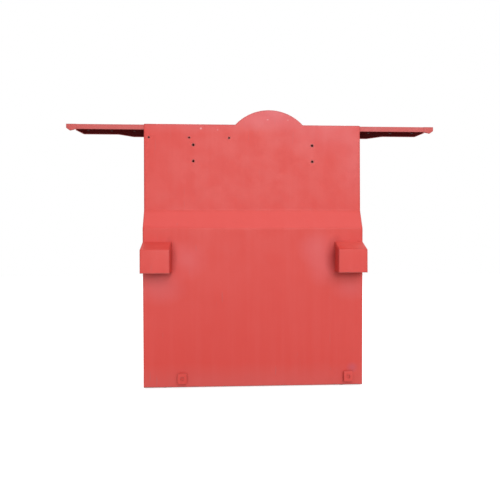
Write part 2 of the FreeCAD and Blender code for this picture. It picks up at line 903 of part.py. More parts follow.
def filler_lid():
    c = (filler_x, filler_y)
    plate = rod(lid_r, (*c, lid_under), (*c, lid_under + lid_plate))
    top_edge = [e for e in plate.Edges if close(e.BoundBox.ZMin, lid_under + lid_plate)]
    plate = plate.makeFillet(2, top_edge)
    skirt = ring(
        lid_skirt_outer, lid_skirt_inner, (*c, lid_under - lid_skirt_depth), (*c, lid_under + 1)
    )
    tab = box(
        filler_x + lid_r - 4, filler_x + lid_r + lid_tab_length, filler_y - lid_tab_width / 2,
        filler_y + lid_tab_width / 2, lid_under, lid_under + lid_plate - 1,
    )
    outer_edges = edges_where(tab, lambda p: p.x > filler_x + lid_r)
    tab = tab.makeFillet(5, [e for e in outer_edges if close(e.Length, lid_plate - 1)])
    arm_end_x = filler_x - lid_r + 8
    lid_top = lid_under + lid_plate
    arm = box(hinge_x, arm_end_x, filler_y - knuckle_half, filler_y + knuckle_half, lid_under, lid_top)
    knuckle = rod(
        knuckle_r, (hinge_x, filler_y - knuckle_half, hinge_z), (hinge_x, filler_y + knuckle_half, hinge_z)
    )
    lid = fuse([plate, skirt, tab, arm, knuckle])
    pin_hole = rod(
        hinge_pin_r + hinge_pin_gap, (hinge_x, filler_y - 40, hinge_z), (hinge_x, filler_y + 40, hinge_z)
    )
    return lid.cut(pin_hole)


def lid_seal():
    c = (filler_x, filler_y)
    return ring(rim_r, filler_bore_r + 1.5, (*c, rim_top + 0.3), (*c, lid_under))


# ---------------------------------------------------------------- grips


def grip():
    """The right-hand grip: a box open below, with a sloping roof, closed behind by the front shell."""
    back_y = face_y
    def section(offset):
        slope = math.atan2(grip_roof_top - grip_face_top, face_y_at(grip_roof_top) - grip_front_y)
        rise = (grip_roof_top - grip_face_top) / (face_y_at(grip_roof_top) - grip_front_y)
        drop = offset / math.cos(slope)
        top_at = lambda y: grip_face_top + (y - grip_front_y) * rise - drop
        bottom = grip_bottom - (1 if offset else 0)
        return [
            (grip_front_y + offset, bottom),
            (grip_front_y + offset, top_at(grip_front_y + offset)),
            (back_y, top_at(back_y)),
            (back_y, bottom),
        ]
    outer = prism_x(section(0), grip_inner_x, half_width)
    front_edges = edges_where(outer, lambda p: close(p.y, grip_front_y))
    outer = outer.makeFillet(grip_edge_radius, front_edges)
    inner = prism_x(section(grip_wall), grip_inner_x + grip_wall, half_width - grip_wall)
    box_shell = outer.cut(inner)
    bosses = []
    for x, z in grip_screws()[4:]:
        boss = rod(grip_boss_r, (x, back_y, z), (x, face_y_at(z) - grip_boss_length, z))
        bosses.append(boss.common(outer))
    solid = fuse([box_shell] + bosses)
    for x, z in grip_screws()[4:]:
        solid = solid.cut(rod(grip_screw_r, (x, back_y + 1, z), (x, face_y_at(z) - grip_boss_length + 4, z)))
    return solid.cut(front_mass(0, parting_y))


def grip_plate():
    """The right-hand steel plate behind the front shell that the grip's screws pull on."""
    low, high = grip_boss_low - grip_plate_margin, grip_boss_high + grip_plate_margin
    points = [
        (face_y_at(low) + wall, low),
        (face_y_at(high) + wall, high),
        (face_y_at(high) + wall + grip_plate_t, high),
        (face_y_at(low) + wall + grip_plate_t, low),
    ]
    plate = prism_x(points, grip_inner_x, inner_side_x - 1)
    return cut(plate, [hole_y(x, z, grip_screw_r + 0.3) for x, z in grip_screws()[4:]])


def grip_screw_set():
    solids = []
    for x, z in grip_screws()[4:]:
        seat_y = face_y_at(z) + wall + grip_plate_t + 0.1
        head = rod(4.5, (x, seat_y, z), (x, seat_y + 3, z))
        shank = rod(grip_screw_r, (x, seat_y, z), (x, face_y_at(z) - grip_boss_length + 6, z))
        solids.append(fuse([head, shank]))
    return solids


# ---------------------------------------------------------------- backing plates


def sign_plate(side):
    x = side * sign_x
    y0 = face_y + wall
    plate = box(
        x - sign_plate_width / 2, x + sign_plate_width / 2, y0, y0 + backing_t,
        sign_low - sign_plate_margin, sign_low + sign_pitch + sign_plate_margin,
    )
    return cut(plate, [hole_y(hx, hz, sign_hole_r) for hx, hz in sign_holes() if hx * side > 0])


def accessory_strip():
    y0 = face_y + wall
    strip = box(
        row_x[0] - row_strip_margin, row_x[-1] + row_strip_margin, y0, y0 + backing_t,
        row_z - row_strip_height / 2, row_z + row_strip_height / 2,
    )
    return cut(strip, [hole_y(x, row_z, row_hole_r) for x in row_x])


# ---------------------------------------------------------------- drains


def helix_ridge(r_root, r_tip, root_half, tip_half, turns, start_y):
    """A right-handed ridge round the Y axis, growing towards -Y from start_y."""
    path = Part.makeHelix(thread_pitch, thread_pitch * turns, r_root)
    profile = Part.makePolygon([
        V(r_root - 0.4, 0, -root_half), V(r_root - 0.4, 0, root_half), V(r_tip, 0, tip_half),
        V(r_tip, 0, -tip_half), V(r_root - 0.4, 0, -root_half),
    ])
    ridge = Part.Wire(path.Edges).makePipeShell([profile], True, True)
    ridge = ridge if ridge.ShapeType == "Solid" else Part.Solid(ridge)
    # stands the helix's +Z on -Y
    ridge.rotate(V(0, 0, 0), V(1, 0, 0), 90)
    ridge.translate(V(0, start_y, 0))
    return ridge


thread_inner_y = bush_end_y + thread_turns * thread_pitch + thread_pitch / 2


def drain_bush(x):
    inner_end = tank_front_y + tank_wall
    body = fuse([
        rod(bush_r, (0, inner_end, 0), (0, bush_end_y, 0)),
        rod(bush_flange_r, (0, tank_front_y, 0), (0, tank_front_y - bush_flange_t, 0)),
    ])
    body = body.cut(rod(thread_minor_r, (0, inner_end + 1, 0), (0, bush_end_y - 1, 0)))
    major_r = thread_minor_r + thread_depth
    start_y = thread_inner_y + thread_pitch * 1.25
    groove = helix_ridge(thread_minor_r, major_r, 1.45, 0.85, thread_turns + 2, start_y)
    body = body.cut(groove)
    body.translate(V(x, 0, drain_z))
    return body


def drain_plug(x):
    front_y = plug_back_y - plug_head_t
    half_w, half_h = plug_width / 2, plug_height / 2
    head = box(-half_w, half_w, front_y, plug_back_y, -half_h, half_h)
    head = head.makeFillet(plug_corner_r, [e for e in head.Edges if close(e.Length, plug_head_t)])
    head = head.makeFillet(1.5, [e for e in head.Edges if close(e.BoundBox.YMax, front_y)])
    half_key = plug_key / 2
    key = box(-half_key, half_key, front_y - 1, front_y + plug_key_depth, -half_key, half_key)
    shank_r = thread_minor_r - thread_gap
    shank_end = bush_end_y + thread_turns * thread_pitch + 2
    shank = rod(shank_r, (0, plug_back_y, 0), (0, shank_end, 0))
    crest_r = thread_minor_r + thread_depth - thread_gap
    start_y = thread_inner_y - thread_pitch * 0.75
    ridge = helix_ridge(shank_r, crest_r, 1.0, 0.45, thread_turns - 0.75, start_y)
    plug = fuse([head.cut(key), shank, ridge])
    plug.translate(V(x, 0, drain_z))
    return plug


def drain_seal(x):
    return ring(bush_r, drain_seal_inner_r, (x, plug_back_y, drain_z), (x, bush_end_y - 0.1, drain_z))


# ---------------------------------------------------------------- feet and rivets


def foot(x, y):
    pad = rod(foot_r, (x, y, 0), (x, y, floor_z))
    pad = pad.makeFillet(1.5, [e for e in pad.Edges if close(e.BoundBox.ZMax, 0)])
    return fuse([
        pad,
        rod(foot_stem_r, (x, y, floor_z), (x, y, floor_top)),
        rod(foot_bulb_r, (x, y, floor_top), (x, y, floor_top + 3)),
    ])


def side_rivets(side):
    solids = []
    for z in side_rivet_z:
        outer, inner = side * half_width, side * (tube_outer_x - tube_wall)
        solids.append(fuse([
            rod(rivet_r, (outer, rivet_y, z), (inner, rivet_y, z)),
            rod(rivet_head_r, (outer, rivet_y, z), (outer + side * rivet_head_t, rivet_y, z)),
            rod(rivet_tail_r, (inner, rivet_y, z), (inner - side * rivet_tail_t, rivet_y, z)),
        ]))
    return solids


def top_rivets():
    solids = []
    y = top_rivet_y()
    for x in top_rivet_x:
        tail = deck_under - spar_wall
        solids.append(fuse([
            rod(rivet_r, (x, y, tail), (x, y, body_top)),
            flush_head(x, y),
            rod(rivet_tail_r, (x, y, tail - rivet_tail_t), (x, y, tail)),
        ]))
    return solids


def main():
    os.makedirs(PARTS, exist_ok=True)
    save("front_shell", front_shell())
    save("rear_shell", rear_shell())
    save("deck", deck())
    save("wing_liner_right", wing_liner())
    save("wing_liner_left", mirror(wing_liner()))
    save("wing_screws_right", wing_screws(1))
    save("wing_screws_left", wing_screws(-1))
    save("spar", spar())
    save("upright_right", upright())
    save("upright_left", upright_left())
    save("floor_bolts", floor_bolt_set())
    save("head_bolts", head_bolt_set())
    save("ballast_tank", ballast_tank())
    save("tank_bearer_left", tank_bearer(-1))
    save("tank_bearer_right", tank_bearer(1))
    save("filler_hose", filler_hose())
    save("hose_clamp_top", hose_clamp(hose_top - clamp_width - 4))
    save("hose_clamp_bottom", hose_clamp(hose_bottom + 4))
    save("filler_gasket", filler_gasket())
    save("filler_neck", filler_neck())
    save("filler_screws", filler_screws())
    save("lid_hinge_pin", hinge_pin())
    save("filler_lid", filler_lid())
    save("lid_seal", lid_seal())
    save("grip_right", grip())
    save("grip_left", mirror(grip()))
    save("grip_plate_right", grip_plate())
    save("grip_plate_left", mirror(grip_plate()))
    save("grip_screws_right", grip_screw_set())
    save("grip_screws_left", [mirror(s) for s in grip_screw_set()])
    save("sign_plate_left", sign_plate(-1))
    save("sign_plate_right", sign_plate(1))
    save("accessory_strip", accessory_strip())
    for name, x in zip(("left", "right"), drain_x):
        save("drain_bush_" + name, drain_bush(x))
        save("drain_seal_" + name, drain_seal(x))
        save("drain_plug_" + name, drain_plug(x))
    for name, (x, y) in zip(("front_left", "rear_left", "front_right", "rear_right"), feet_places()):
        save("foot_" + name, foot(x, y))
    save("side_rivets_left", side_rivets(-1))
    save("side_rivets_right", side_rivets(1))
    save("top_rivets", top_rivets())


main()
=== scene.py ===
"""Looks of the water filled barrier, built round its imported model. Everything is in metres."""

import json
import math

import bmesh
import bpy
from mathutils import Matrix, Vector, noise


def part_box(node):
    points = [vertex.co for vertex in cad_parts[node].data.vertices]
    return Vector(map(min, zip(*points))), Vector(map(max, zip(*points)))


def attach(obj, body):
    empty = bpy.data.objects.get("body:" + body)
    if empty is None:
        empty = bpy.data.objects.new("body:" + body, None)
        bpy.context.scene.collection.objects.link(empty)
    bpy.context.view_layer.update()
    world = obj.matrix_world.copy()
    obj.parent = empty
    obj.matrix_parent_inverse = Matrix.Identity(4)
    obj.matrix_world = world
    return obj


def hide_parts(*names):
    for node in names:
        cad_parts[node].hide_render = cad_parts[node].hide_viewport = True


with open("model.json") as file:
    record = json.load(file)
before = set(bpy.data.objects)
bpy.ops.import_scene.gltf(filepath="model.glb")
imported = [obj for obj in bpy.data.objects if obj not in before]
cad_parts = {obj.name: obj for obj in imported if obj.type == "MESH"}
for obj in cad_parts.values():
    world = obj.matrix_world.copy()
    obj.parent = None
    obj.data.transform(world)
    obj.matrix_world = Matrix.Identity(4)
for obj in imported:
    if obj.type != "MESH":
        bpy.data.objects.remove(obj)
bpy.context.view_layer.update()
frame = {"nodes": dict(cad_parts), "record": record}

bl_info = {
    "name": "Water Filled Barrier",
    "version": (1, 0, 0),
    "blender": (4, 5, 0),
    "location": "View3D > Sidebar > Barrier",
    "description": "Moulded shells, deck, grips, finishes and stage of a ballasted barrier",
    "category": "Add Mesh",
}

# ---- the barrier's own sizes, the same as in the part's source
WALL = 0.004
LAP_GAP = 0.0005
FACE_Y = -0.086
STEM_REAR_Y = 0.029
TANK_REAR_Y = 0.189
BAND_TOP = 0.6965
BAND_BOTTOM = 0.6227
BAND_STEP = 0.036
FOOT_STEP = 0.022
REAR_SHOULDER_LOW = 0.520
CREST_X = 0.0645
CREST_RADIUS = 0.184
CREST_RISE = 0.0586
FLANGE_DEPTH = 0.026
SIDE_RETURN = 0.040
GROUND_GAP = 0.005
FLUSH = 0.0002
LIP_WALL = 0.004
FRONT_LIP_HEIGHT = 0.020
REAR_LIP_HEIGHT = 0.024
TONGUE_HEIGHT = 0.022
WING_DEPTH = 0.074
WING_REACH = 0.266
WING_END_SLANT = 0.014
FLARE_FROM_SIDE = 0.060
FLARE_LENGTH = 0.053
FILLER_HOLE_R = 0.025
TONGUE_LENGTH = 0.035
TONGUE_THICKNESS = 0.006
TONGUE_END_HEIGHT = 0.016
TOOTH_FROM_TIP = 0.015
TOOTH_DROP = 0.0045
GRIP_FACE_TOP = 0.540
GRIP_ROOF_TOP = 0.571
GRIP_WALL = 0.004
GRIP_BOSS_R = 0.0055
GRIP_BOSS_LENGTH = 0.026
GRIP_BOSS_FROM_SIDE = 0.009
GRIP_BOSS_HEIGHTS = (0.463, 0.541)
SIGN_HOLES = [(x, z) for x in (-0.236, 0.236) for z in (0.890, 0.954)]
SIGN_HOLE_R = 0.0045
ROW_HOLES = [(x, 0.9825) for x in (-0.410, -0.2525, -0.095)]
ROW_HOLE_R = 0.0033
DRAIN_HOLES = [(-0.2795, 0.040), (0.371, 0.040)]
DRAIN_HOLE_R = 0.0155
SWAGE_X = (-0.250, 0.0, 0.250)
SWAGE_WIDTH = 0.110
SWAGE_LOW = 0.070
SWAGE_HIGH = 0.470
SWAGE_DEPTH = 0.010

# ---- the studio
SKY_LOW = 0.16
SKY_HIGH = 0.75
FLOOR_GLOW = 0.75

# ---- places read from the frame
HALF_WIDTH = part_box("front_shell")[1][0]
CREST_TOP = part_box("front_shell")[1][2]
BODY_TOP = CREST_TOP - CREST_RISE
DECK_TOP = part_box("deck")[1][2]
SIDE_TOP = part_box("wing_liner_right")[0][2]
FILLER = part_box("filler_neck")
GRIP_LOW, GRIP_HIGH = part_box("grip_right")
CREST_Z = CREST_TOP - CREST_RADIUS
CREST_HALF = math.sqrt(CREST_RADIUS**2 - (BODY_TOP - CREST_Z) ** 2)
PARTING_Y = FACE_Y + SIDE_RETURN
LIP_FRONT_Y = FACE_Y + WALL + LAP_GAP
WING_REAR_Y = LIP_FRONT_Y + WING_DEPTH
DECK_REAR_Y = STEM_REAR_Y + LAP_GAP + LIP_WALL


class BarrierSizes(bpy.types.PropertyGroup):
    """Sizes that a user would change in the finished shells."""

    edge_radius: bpy.props.FloatProperty(
        name="Edge radius",
        description="Radius of the upright edges of the front shell",
        default=0.005,
        min=0.001,
        unit="LENGTH",
    )
    rim_radius: bpy.props.FloatProperty(
        name="Rim radius",
        description="Radius of the top edge and the crest's edge",
        default=0.003,
        min=0.0005,
        unit="LENGTH",
    )
    crease_radius: bpy.props.FloatProperty(
        name="Crease radius",
        description="Radius of the two lines of the sloping band",
        default=0.004,
        min=0.001,
        unit="LENGTH",
    )
    rear_radius: bpy.props.FloatProperty(
        name="Rear edge radius",
        description="Radius of the rear shell's edges",
        default=0.011,
        min=0.002,
        unit="LENGTH",
    )
    ripple: bpy.props.FloatProperty(
        name="Ripple",
        description="Height of the slow waves that a laid-up skin keeps",
        default=0.0005,
        min=0.0,
        unit="LENGTH",
    )
    grip_radius: bpy.props.FloatProperty(
        name="Grip edge radius",
        description="Radius of the hand grips' edges",
        default=0.0035,
        min=0.001,
        unit="LENGTH",
    )
    column_step: bpy.props.FloatProperty(
        name="Mesh step",
        description="Distance between the columns and rows of the shells' meshes",
        default=0.009,
        min=0.004,
        unit="LENGTH",
    )


class BarrierColours(bpy.types.PropertyGroup):
    """Colours that a user would change."""

    shell: bpy.props.FloatVectorProperty(
        name="Shell",
        description="Red of the gel coat",
        subtype="COLOR",
        default=(0.662, 0.057, 0.045),
        min=0.0,
        max=1.0,
    )
    shell_faded: bpy.props.FloatVectorProperty(
        name="Faded shell",
        description="The same red where sun and chalk have paled it",
        subtype="COLOR",
        default=(0.71, 0.105, 0.094),
        min=0.0,
        max=1.0,
    )
    deck: bpy.props.FloatVectorProperty(
        name="Deck",
        description="Red of the deck, dulled by dust",
        subtype="COLOR",
        default=(0.56, 0.085, 0.078),
        min=0.0,
        max=1.0,
    )
    deck_faded: bpy.props.FloatVectorProperty(
        name="Faded deck",
        description="The deck's red where it has paled",
        subtype="COLOR",
        default=(0.60, 0.115, 0.105),
        min=0.0,
        max=1.0,
    )
    # Painted shade: this grey brown darkens the gel coats along their edges and creases.
    edge_shade: bpy.props.FloatVectorProperty(
        name="Edge grime",
        description="Grey brown dirt that collects along edges",
        subtype="COLOR",
        default=(0.16, 0.075, 0.07),
        min=0.0,
        max=1.0,
    )
    floor: bpy.props.FloatVectorProperty(
        name="Floor",
        description="Pale studio floor",
        subtype="COLOR",
        default=(0.62, 0.61, 0.6),
        min=0.0,
        max=1.0,
    )


# ---------------------------------------------------------------- mesh helpers


def arc(centre, radius, start, end, steps):
    """Points (a, b) on an arc round centre, from angle start to end in degrees."""
    points = []
    for i in range(steps + 1):
        angle = math.radians(start + (end - start) * i / steps)
        points.append((centre[0] + radius * math.cos(angle), centre[1] + radius * math.sin(angle)))
    return points


def spaced(start, end, step, ends=True):
    """Evenly spaced values from start to end, about step apart."""
    count = max(1, round(abs(end - start) / step))
    values = [start + (end - start) * i / count for i in range(count + 1)]
    return values if ends else values[1:-1]


def rounded(points, radius, steps=4, closed=False):
    """A polyline of 2-D points with its inner corners rounded."""
    result = []
    count = len(points)
    for i, point in enumerate(points):
        here = Vector(point)
        if not closed and i in (0, count - 1):
            result.append(here)
            continue
        before = Vector(points[i - 1]) - here
        after = Vector(points[(i + 1) % count]) - here
        half = before.angle(after) / 2
        reach = min(radius / math.tan(half), before.length * 0.45, after.length * 0.45)
        a, b = here + before.normalized() * reach, here + after.normalized() * reach
        for k in range(steps + 1):
            t = k / steps
            result.append(a * (1 - t) ** 2 + here * 2 * t * (1 - t) + b * t**2)
    return result


def dense(points, step):
    """The same polyline with points added, about step apart."""
    result = [points[0]]
    for a, b in zip(points, points[1:]):
        count = max(1, math.ceil((b - a).length / step))
        result += [a.lerp(b, i / count) for i in range(1, count + 1)]
    return result


def grid_faces(bm, rows, closed=False):
    """Joins rows of bmesh vertices with quads."""
    for lower, upper in zip(rows, rows[1:]):
        last = len(lower) if closed else len(lower) - 1
        for i in range(last):
            j = (i + 1) % len(lower)
            bm.faces.new((lower[i], lower[j], upper[j], upper[i]))


def finish_object(bm, name, body="barrier", sharp=35.0):
    """Makes an object from the bmesh, smooth but for its sharp edges, riding on a body."""
    mesh = bpy.data.meshes.new(name)
    bm.to_mesh(mesh)
    bm.free()
    obj = bpy.data.objects.new(name, mesh)
    bpy.context.scene.collection.objects.link(obj)
    shade(mesh, sharp)
    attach(obj, body)
    return obj


def shade(mesh, sharp=35.0):
    """Smooth shading, with edges over the angle kept sharp."""
    mesh.shade_smooth()
    mesh.set_sharp_from_angle(angle=math.radians(sharp))


def apply_modifiers(obj, sharp=35.0):
    """Turns the object's modifiers into its mesh."""
    depsgraph = bpy.context.evaluated_depsgraph_get()
    mesh = bpy.data.meshes.new_from_object(obj.evaluated_get(depsgraph))
    obj.modifiers.clear()
    obj.data = mesh
    shade(mesh, sharp)


def thicken(obj, thickness):
    """Gives a single skin its wall, built inward."""
    solid = obj.modifiers.new("wall", "SOLIDIFY")
    solid.thickness = thickness
    solid.offset = -1.0
    solid.use_even_offset = True
    solid.thickness_clamp = 0.0


def cut_away(obj, fill):
    """Cuts from obj the closed solids that fill() adds to a bmesh."""
    bm = bmesh.new()
    fill(bm)
    mesh = bpy.data.meshes.new("cutters")
    bm.to_mesh(mesh)
    bm.free()
    cutters = bpy.data.objects.new("cutters", mesh)
    bpy.context.scene.collection.objects.link(cutters)
    cut = obj.modifiers.new("cut", "BOOLEAN")
    cut.operation = "DIFFERENCE"
    cut.solver = "EXACT"
    cut.object = cutters
    apply_modifiers(obj)
    bpy.data.objects.remove(cutters)
    bpy.data.meshes.remove(mesh)


def add_rod(bm, start, end, radius, segments=20):
    """A round bar between two points."""
    a, b = Vector(start), Vector(end)
    turn = Matrix.Translation((a + b) / 2) @ (b - a).to_track_quat("Z", "Y").to_matrix().to_4x4()
    bmesh.ops.create_cone(
        bm,
        cap_ends=True,
        segments=segments,
        radius1=radius,
        radius2=radius,
        depth=(b - a).length,
        matrix=turn,
    )


def add_prism(bm, section, x0, x1):
    """A closed solid with the (y, z) section, from x0 to x1. Returns its faces."""
    near = [bm.verts.new((x0, y, z)) for y, z in section]
    far = [bm.verts.new((x1, y, z)) for y, z in section]
    faces = [bm.faces.new(near), bm.faces.new(list(reversed(far)))]
    count = len(section)
    for i in range(count):
        j = (i + 1) % count
        faces.append(bm.faces.new((near[i], far[i], far[j], near[j])))
    bmesh.ops.recalc_face_normals(bm, faces=faces)
    return faces


def ripple_at(x, z, height):
    """Slow waves across a laid-up skin."""
    wide = noise.noise(Vector((x * 3.1, z * 2.3, 4.2)))
    fine = noise.noise(Vector((x * 9.0, z * 6.5, 1.7)))
    return height * (wide + 0.35 * fine)


# ---------------------------------------------------------------- front shell


def front_profile(crease_radius, step):
    """The front face's (y, z) line from the bottom to the top of the band, creases rounded."""
    line = [
        (FACE_Y - FOOT_STEP, GROUND_GAP),
        (FACE_Y - BAND_STEP, BAND_BOTTOM),
        (FACE_Y, BAND_TOP),
        (FACE_Y, BAND_TOP + 0.03),
    ]
    return dense(rounded(line, crease_radius, steps=5), step)


def top_outline(x):
    """Height of the front shell's top edge at x."""
    if abs(x - CREST_X) < CREST_HALF:
        return CREST_Z + math.sqrt(CREST_RADIUS**2 - (x - CREST_X) ** 2)
    return BODY_TOP


def top_normal(x):
    """Outward direction of the top edge at x, as (x, z), mitred where the crest meets the top."""
    reach = abs(x - CREST_X) - CREST_HALF
    slope = Vector((x - CREST_X, BODY_TOP - CREST_Z)).normalized()
    if abs(reach) < 1e-6:
        mitre = (slope + Vector((0, 1))).normalized()
        return mitre / mitre.y
    if reach < 0:
        return Vector((x - CREST_X, top_outline(x) - CREST_Z)).normalized()
    return Vector((0.0, 1.0))


def front_columns(sizes):
    """Places along the shell's plan: (x, y behind the face, inward direction, kind)."""
    radius = sizes.edge_radius
    columns = []
    notch = LIP_FRONT_Y - FACE_Y
    side_step = 0.008
    clear = 0.0004
    sides = [SIDE_RETURN] + spaced(SIDE_RETURN, notch, side_step, ends=False) + [notch + clear]
    for back in sides:
        if back > radius:
            columns.append((-HALF_WIDTH, back, Vector((1, 0)), "side"))
    corner = arc((0, 0), radius, 180, 270, 5)
    for cx, cy in corner:
        inward = Vector((-cx, -cy)).normalized()
        columns.append((-HALF_WIDTH + radius + cx, radius + cy, inward, "corner"))
    edge = HALF_WIDTH - radius
    marks = [-edge, CREST_X - CREST_HALF, CREST_X + CREST_HALF, edge]
    for a, b in zip(marks, marks[1:]):
        columns += [(x, 0.0, Vector((0, 1)), "front") for x in spaced(a, b, sizes.column_step)[1:]]
    columns.pop()
    right = [(-x, back, Vector((-n.x, n.y)), kind) for x, back, n, kind in columns if kind != "front"]
    return columns + list(reversed(right))


def build_front_shell(sizes):
    columns = front_columns(sizes)
    profile = front_profile(sizes.crease_radius, sizes.column_step)
    rim = sizes.rim_radius
    field_low = profile[-1].y
    field_rows = len(spaced(field_low, BODY_TOP, sizes.column_step)) - 1
    bm = bmesh.new()

    def top_of(column):
        x, _, _, kind = column
        return SIDE_TOP - LAP_GAP if kind == "side" else top_outline(x)

    def place(column, y, z):
        x, back, _, kind = column
        if kind == "side":
            return Vector((x, FACE_Y + back, z))
        wave = ripple_at(x, z, sizes.ripple) if kind == "front" else 0.0
        return Vector((x, y + back + wave * min(1.0, (HALF_WIDTH - abs(x)) / 0.05), z))

    rows = []
    for point in profile[:-1]:
        rows.append([bm.verts.new(place(c, point.x, point.y)) for c in columns])
    rim_low = []
    for column in columns:
        x, _, _, kind = column
        normal = top_normal(x) if kind == "front" else Vector((0.0, 1.0))
        drop = rim if kind != "side" else 0.0
        rim_low.append((x - normal.x * drop, top_of(column) - normal.y * drop, normal, drop))
    for i in range(field_rows + 1):
        t = i / field_rows
        row = []
        for column, (low_x, low_z, _, _) in zip(columns, rim_low):
            spot = place(column, FACE_Y, field_low + (low_z - field_low) * t)
            spot.x += (low_x - column[0]) * t**4
            row.append(bm.verts.new(spot))
        rows.append(row)
    fronts = [i for i, c in enumerate(columns) if c[3] != "side"]
    rolled = [[row[i] for i in fronts] for row in rows[-1:]]
    for k in range(1, 5):
        angle = math.radians(90 * k / 4)
        row = []
        for i in fronts:
            base = rows[-1][i].co
            _, _, normal, drop = rim_low[i]
            inward = columns[i][2]
            up, back = drop * math.sin(angle), drop * (1 - math.cos(angle))
            move = Vector((normal.x * up + inward.x * back, inward.y * back, normal.y * up))
            row.append(bm.verts.new(base + move))
        rolled.append(row)
    grid_faces(bm, rows)
    grid_faces(bm, rolled)
    end_gap, flange_step = 0.010, 0.006
    flange = [v for v in rolled[-1] if abs(v.co.x) < HALF_WIDTH - end_gap]
    flange_rows = [flange]
    for y in spaced(FACE_Y + rim, FACE_Y + FLANGE_DEPTH, flange_step)[1:]:
        flange_rows.append([bm.verts.new((v.co.x, y, v.co.z - FLUSH)) for v in flange])
    grid_faces(bm, flange_rows)
    face_out(bm, Vector((0, -1, 0)), (0.2, FACE_Y, 0.8))
    shell = finish_object(bm, "front_shell_skin")
    thicken(shell, WALL)
    holes = [(x, z, SIGN_HOLE_R) for x, z in SIGN_HOLES]
    holes += [(x, z, ROW_HOLE_R) for x, z in ROW_HOLES]
    holes += [(x, z, DRAIN_HOLE_R) for x, z in DRAIN_HOLES]

    def drills(bm):
        past = 0.01
        for x, z, radius in holes:
            front, back = FACE_Y - BAND_STEP - past, FACE_Y + past
            add_rod(bm, (x, front, z), (x, back, z), radius, 32)

    cut_away(shell, drills)
    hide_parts("front_shell")
    return shell


def face_out(bm, outward, near):
    """Flips all faces if the one nearest to a point looks the wrong way."""
    bm.normal_update()
    spot = Vector(near)
    face = min(bm.faces, key=lambda f: (f.calc_center_median() - spot).length)
    if face.normal.dot(outward) < 0:
        bmesh.ops.reverse_faces(bm, faces=bm.faces)


# ---------------------------------------------------------------- rear shell


def smooth_step(value):
    value = max(0.0, min(1.0, value))
    return value * value * (3 - 2 * value)


def swage_depth_at(x, z):
    """How deep the pressed channels lie at a place on the back."""
    soft = 0.013
    tall = smooth_step((z - SWAGE_LOW) / soft) * smooth_step((SWAGE_HIGH - z) / soft)
    deepest = 0.0
    for centre in SWAGE_X:
        side = SWAGE_WIDTH / 2 - abs(x - centre)
        deepest = max(deepest, smooth_step(side / soft))
    return SWAGE_DEPTH * deepest * tall


def rear_rows(sizes):
    """The back's (y, z) line from the bottom to the top, corners rounded."""
    shoulder_radius, into_deck = 0.014, 0.008
    line = [
        (TANK_REAR_Y, GROUND_GAP),
        (TANK_REAR_Y, REAR_SHOULDER_LOW),
        (STEM_REAR_Y, BAND_TOP),
        (STEM_REAR_Y, SIDE_TOP + into_deck),
    ]
    return dense(rounded(line, shoulder_radius, steps=5), sizes.column_step)


def build_rear_shell(sizes):
    radius = sizes.rear_radius
    edge = HALF_WIDTH - radius
    bm = bmesh.new()
    rows = []
    roll_steps = 5
    roll = radius * 0.6
    calm_edge = 0.05

    def ring(y_back, z, inset=0.0):
        side = HALF_WIDTH - inset
        back = y_back - inset
        corner = max(radius - inset, 0.002)
        points = [(side, PARTING_Y + (back - corner - PARTING_Y) * t) for t in (0, 0.25, 0.5, 0.75)]
        points += arc((side - corner, back - corner), corner, 0, 90, 6)
        xs = spaced(edge, -edge, sizes.column_step, ends=False)
        points += [(x, back) for x in xs]
        points += [(-x, y) for x, y in reversed(points[: 4 + 7])]
        verts = []
        for x, y in points:
            flat = abs(y - back) < 1e-9
            press = swage_depth_at(x, z) if flat and y_back > STEM_REAR_Y + 0.1 else 0.0
            wave = ripple_at(x + 3.0, z, sizes.ripple) - sizes.ripple if flat else 0.0
            wave *= min(1.0, max(0.0, edge - abs(x)) / calm_edge)
            top = min(z, SIDE_TOP - LAP_GAP) if y < STEM_REAR_Y - 0.004 else z
            verts.append(bm.verts.new((x, y - press + wave, top)))
        return verts

    for k in range(roll_steps + 1):
        angle = math.radians(90 * k / roll_steps)
        low, inset = GROUND_GAP + roll * (1 - math.sin(angle)), roll * (1 - math.cos(angle))
        rows.append(ring(TANK_REAR_Y, low, inset))
    rows.reverse()
    for point in rear_rows(sizes):
        if point.y > GROUND_GAP + roll + 0.001:
            rows.append(ring(point.x, point.y))
    grid_faces(bm, rows)
    floor_loop = rows[0]
    front_y = FACE_Y - FOOT_STEP + WALL + LAP_GAP
    inner = HALF_WIDTH - WALL - LAP_GAP
    low = GROUND_GAP + FLUSH
    near = [bm.verts.new((-inner, front_y, low)), bm.verts.new((inner, front_y, low))]
    joggle = [bm.verts.new((-inner, PARTING_Y, low)), bm.verts.new((inner, PARTING_Y, low))]
    bm.faces.new([near[0], joggle[0]] + list(reversed(floor_loop)) + [joggle[1], near[1]])
    face_out(bm, Vector((0, 1, 0)), (0.0, STEM_REAR_Y, 0.85))
    shell = finish_object(bm, "rear_shell_skin")
    thicken(shell, WALL)
    apply_modifiers(shell)
    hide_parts("rear_shell")
    return shell


# ---------------------------------------------------------------- deck


def deck_outline():
    """The deck's plan outline, wings included, as (x, y) points going round once."""
    flare_root = HALF_WIDTH + FLARE_FROM_SIDE
    end = HALF_WIDTH + WING_REACH
    half = [
        (end, LIP_FRONT_Y),
        (end - WING_END_SLANT, WING_REAR_Y),
        (flare_root + FLARE_LENGTH, WING_REAR_Y),
        (flare_root, DECK_REAR_Y),
    ]
    return half + [(-x, y) for x, y in reversed(half)]


def offset_inward(points, distance):
    """A closed 2-D outline moved inward along its mitred normals."""
    count = len(points)
    result = []
    for i, point in enumerate(points):
        here = Vector(point)
        a = (here - Vector(points[i - 1])).normalized()
        b = (Vector(points[(i + 1) % count]) - here).normalized()
        normal = Vector((-a.y, a.x)) + Vector((-b.y, b.x))
        normal.normalize()
        lean = max(0.3, normal.dot(Vector((-a.y, a.x))))
        result.append(here + normal * distance / lean)
    return result


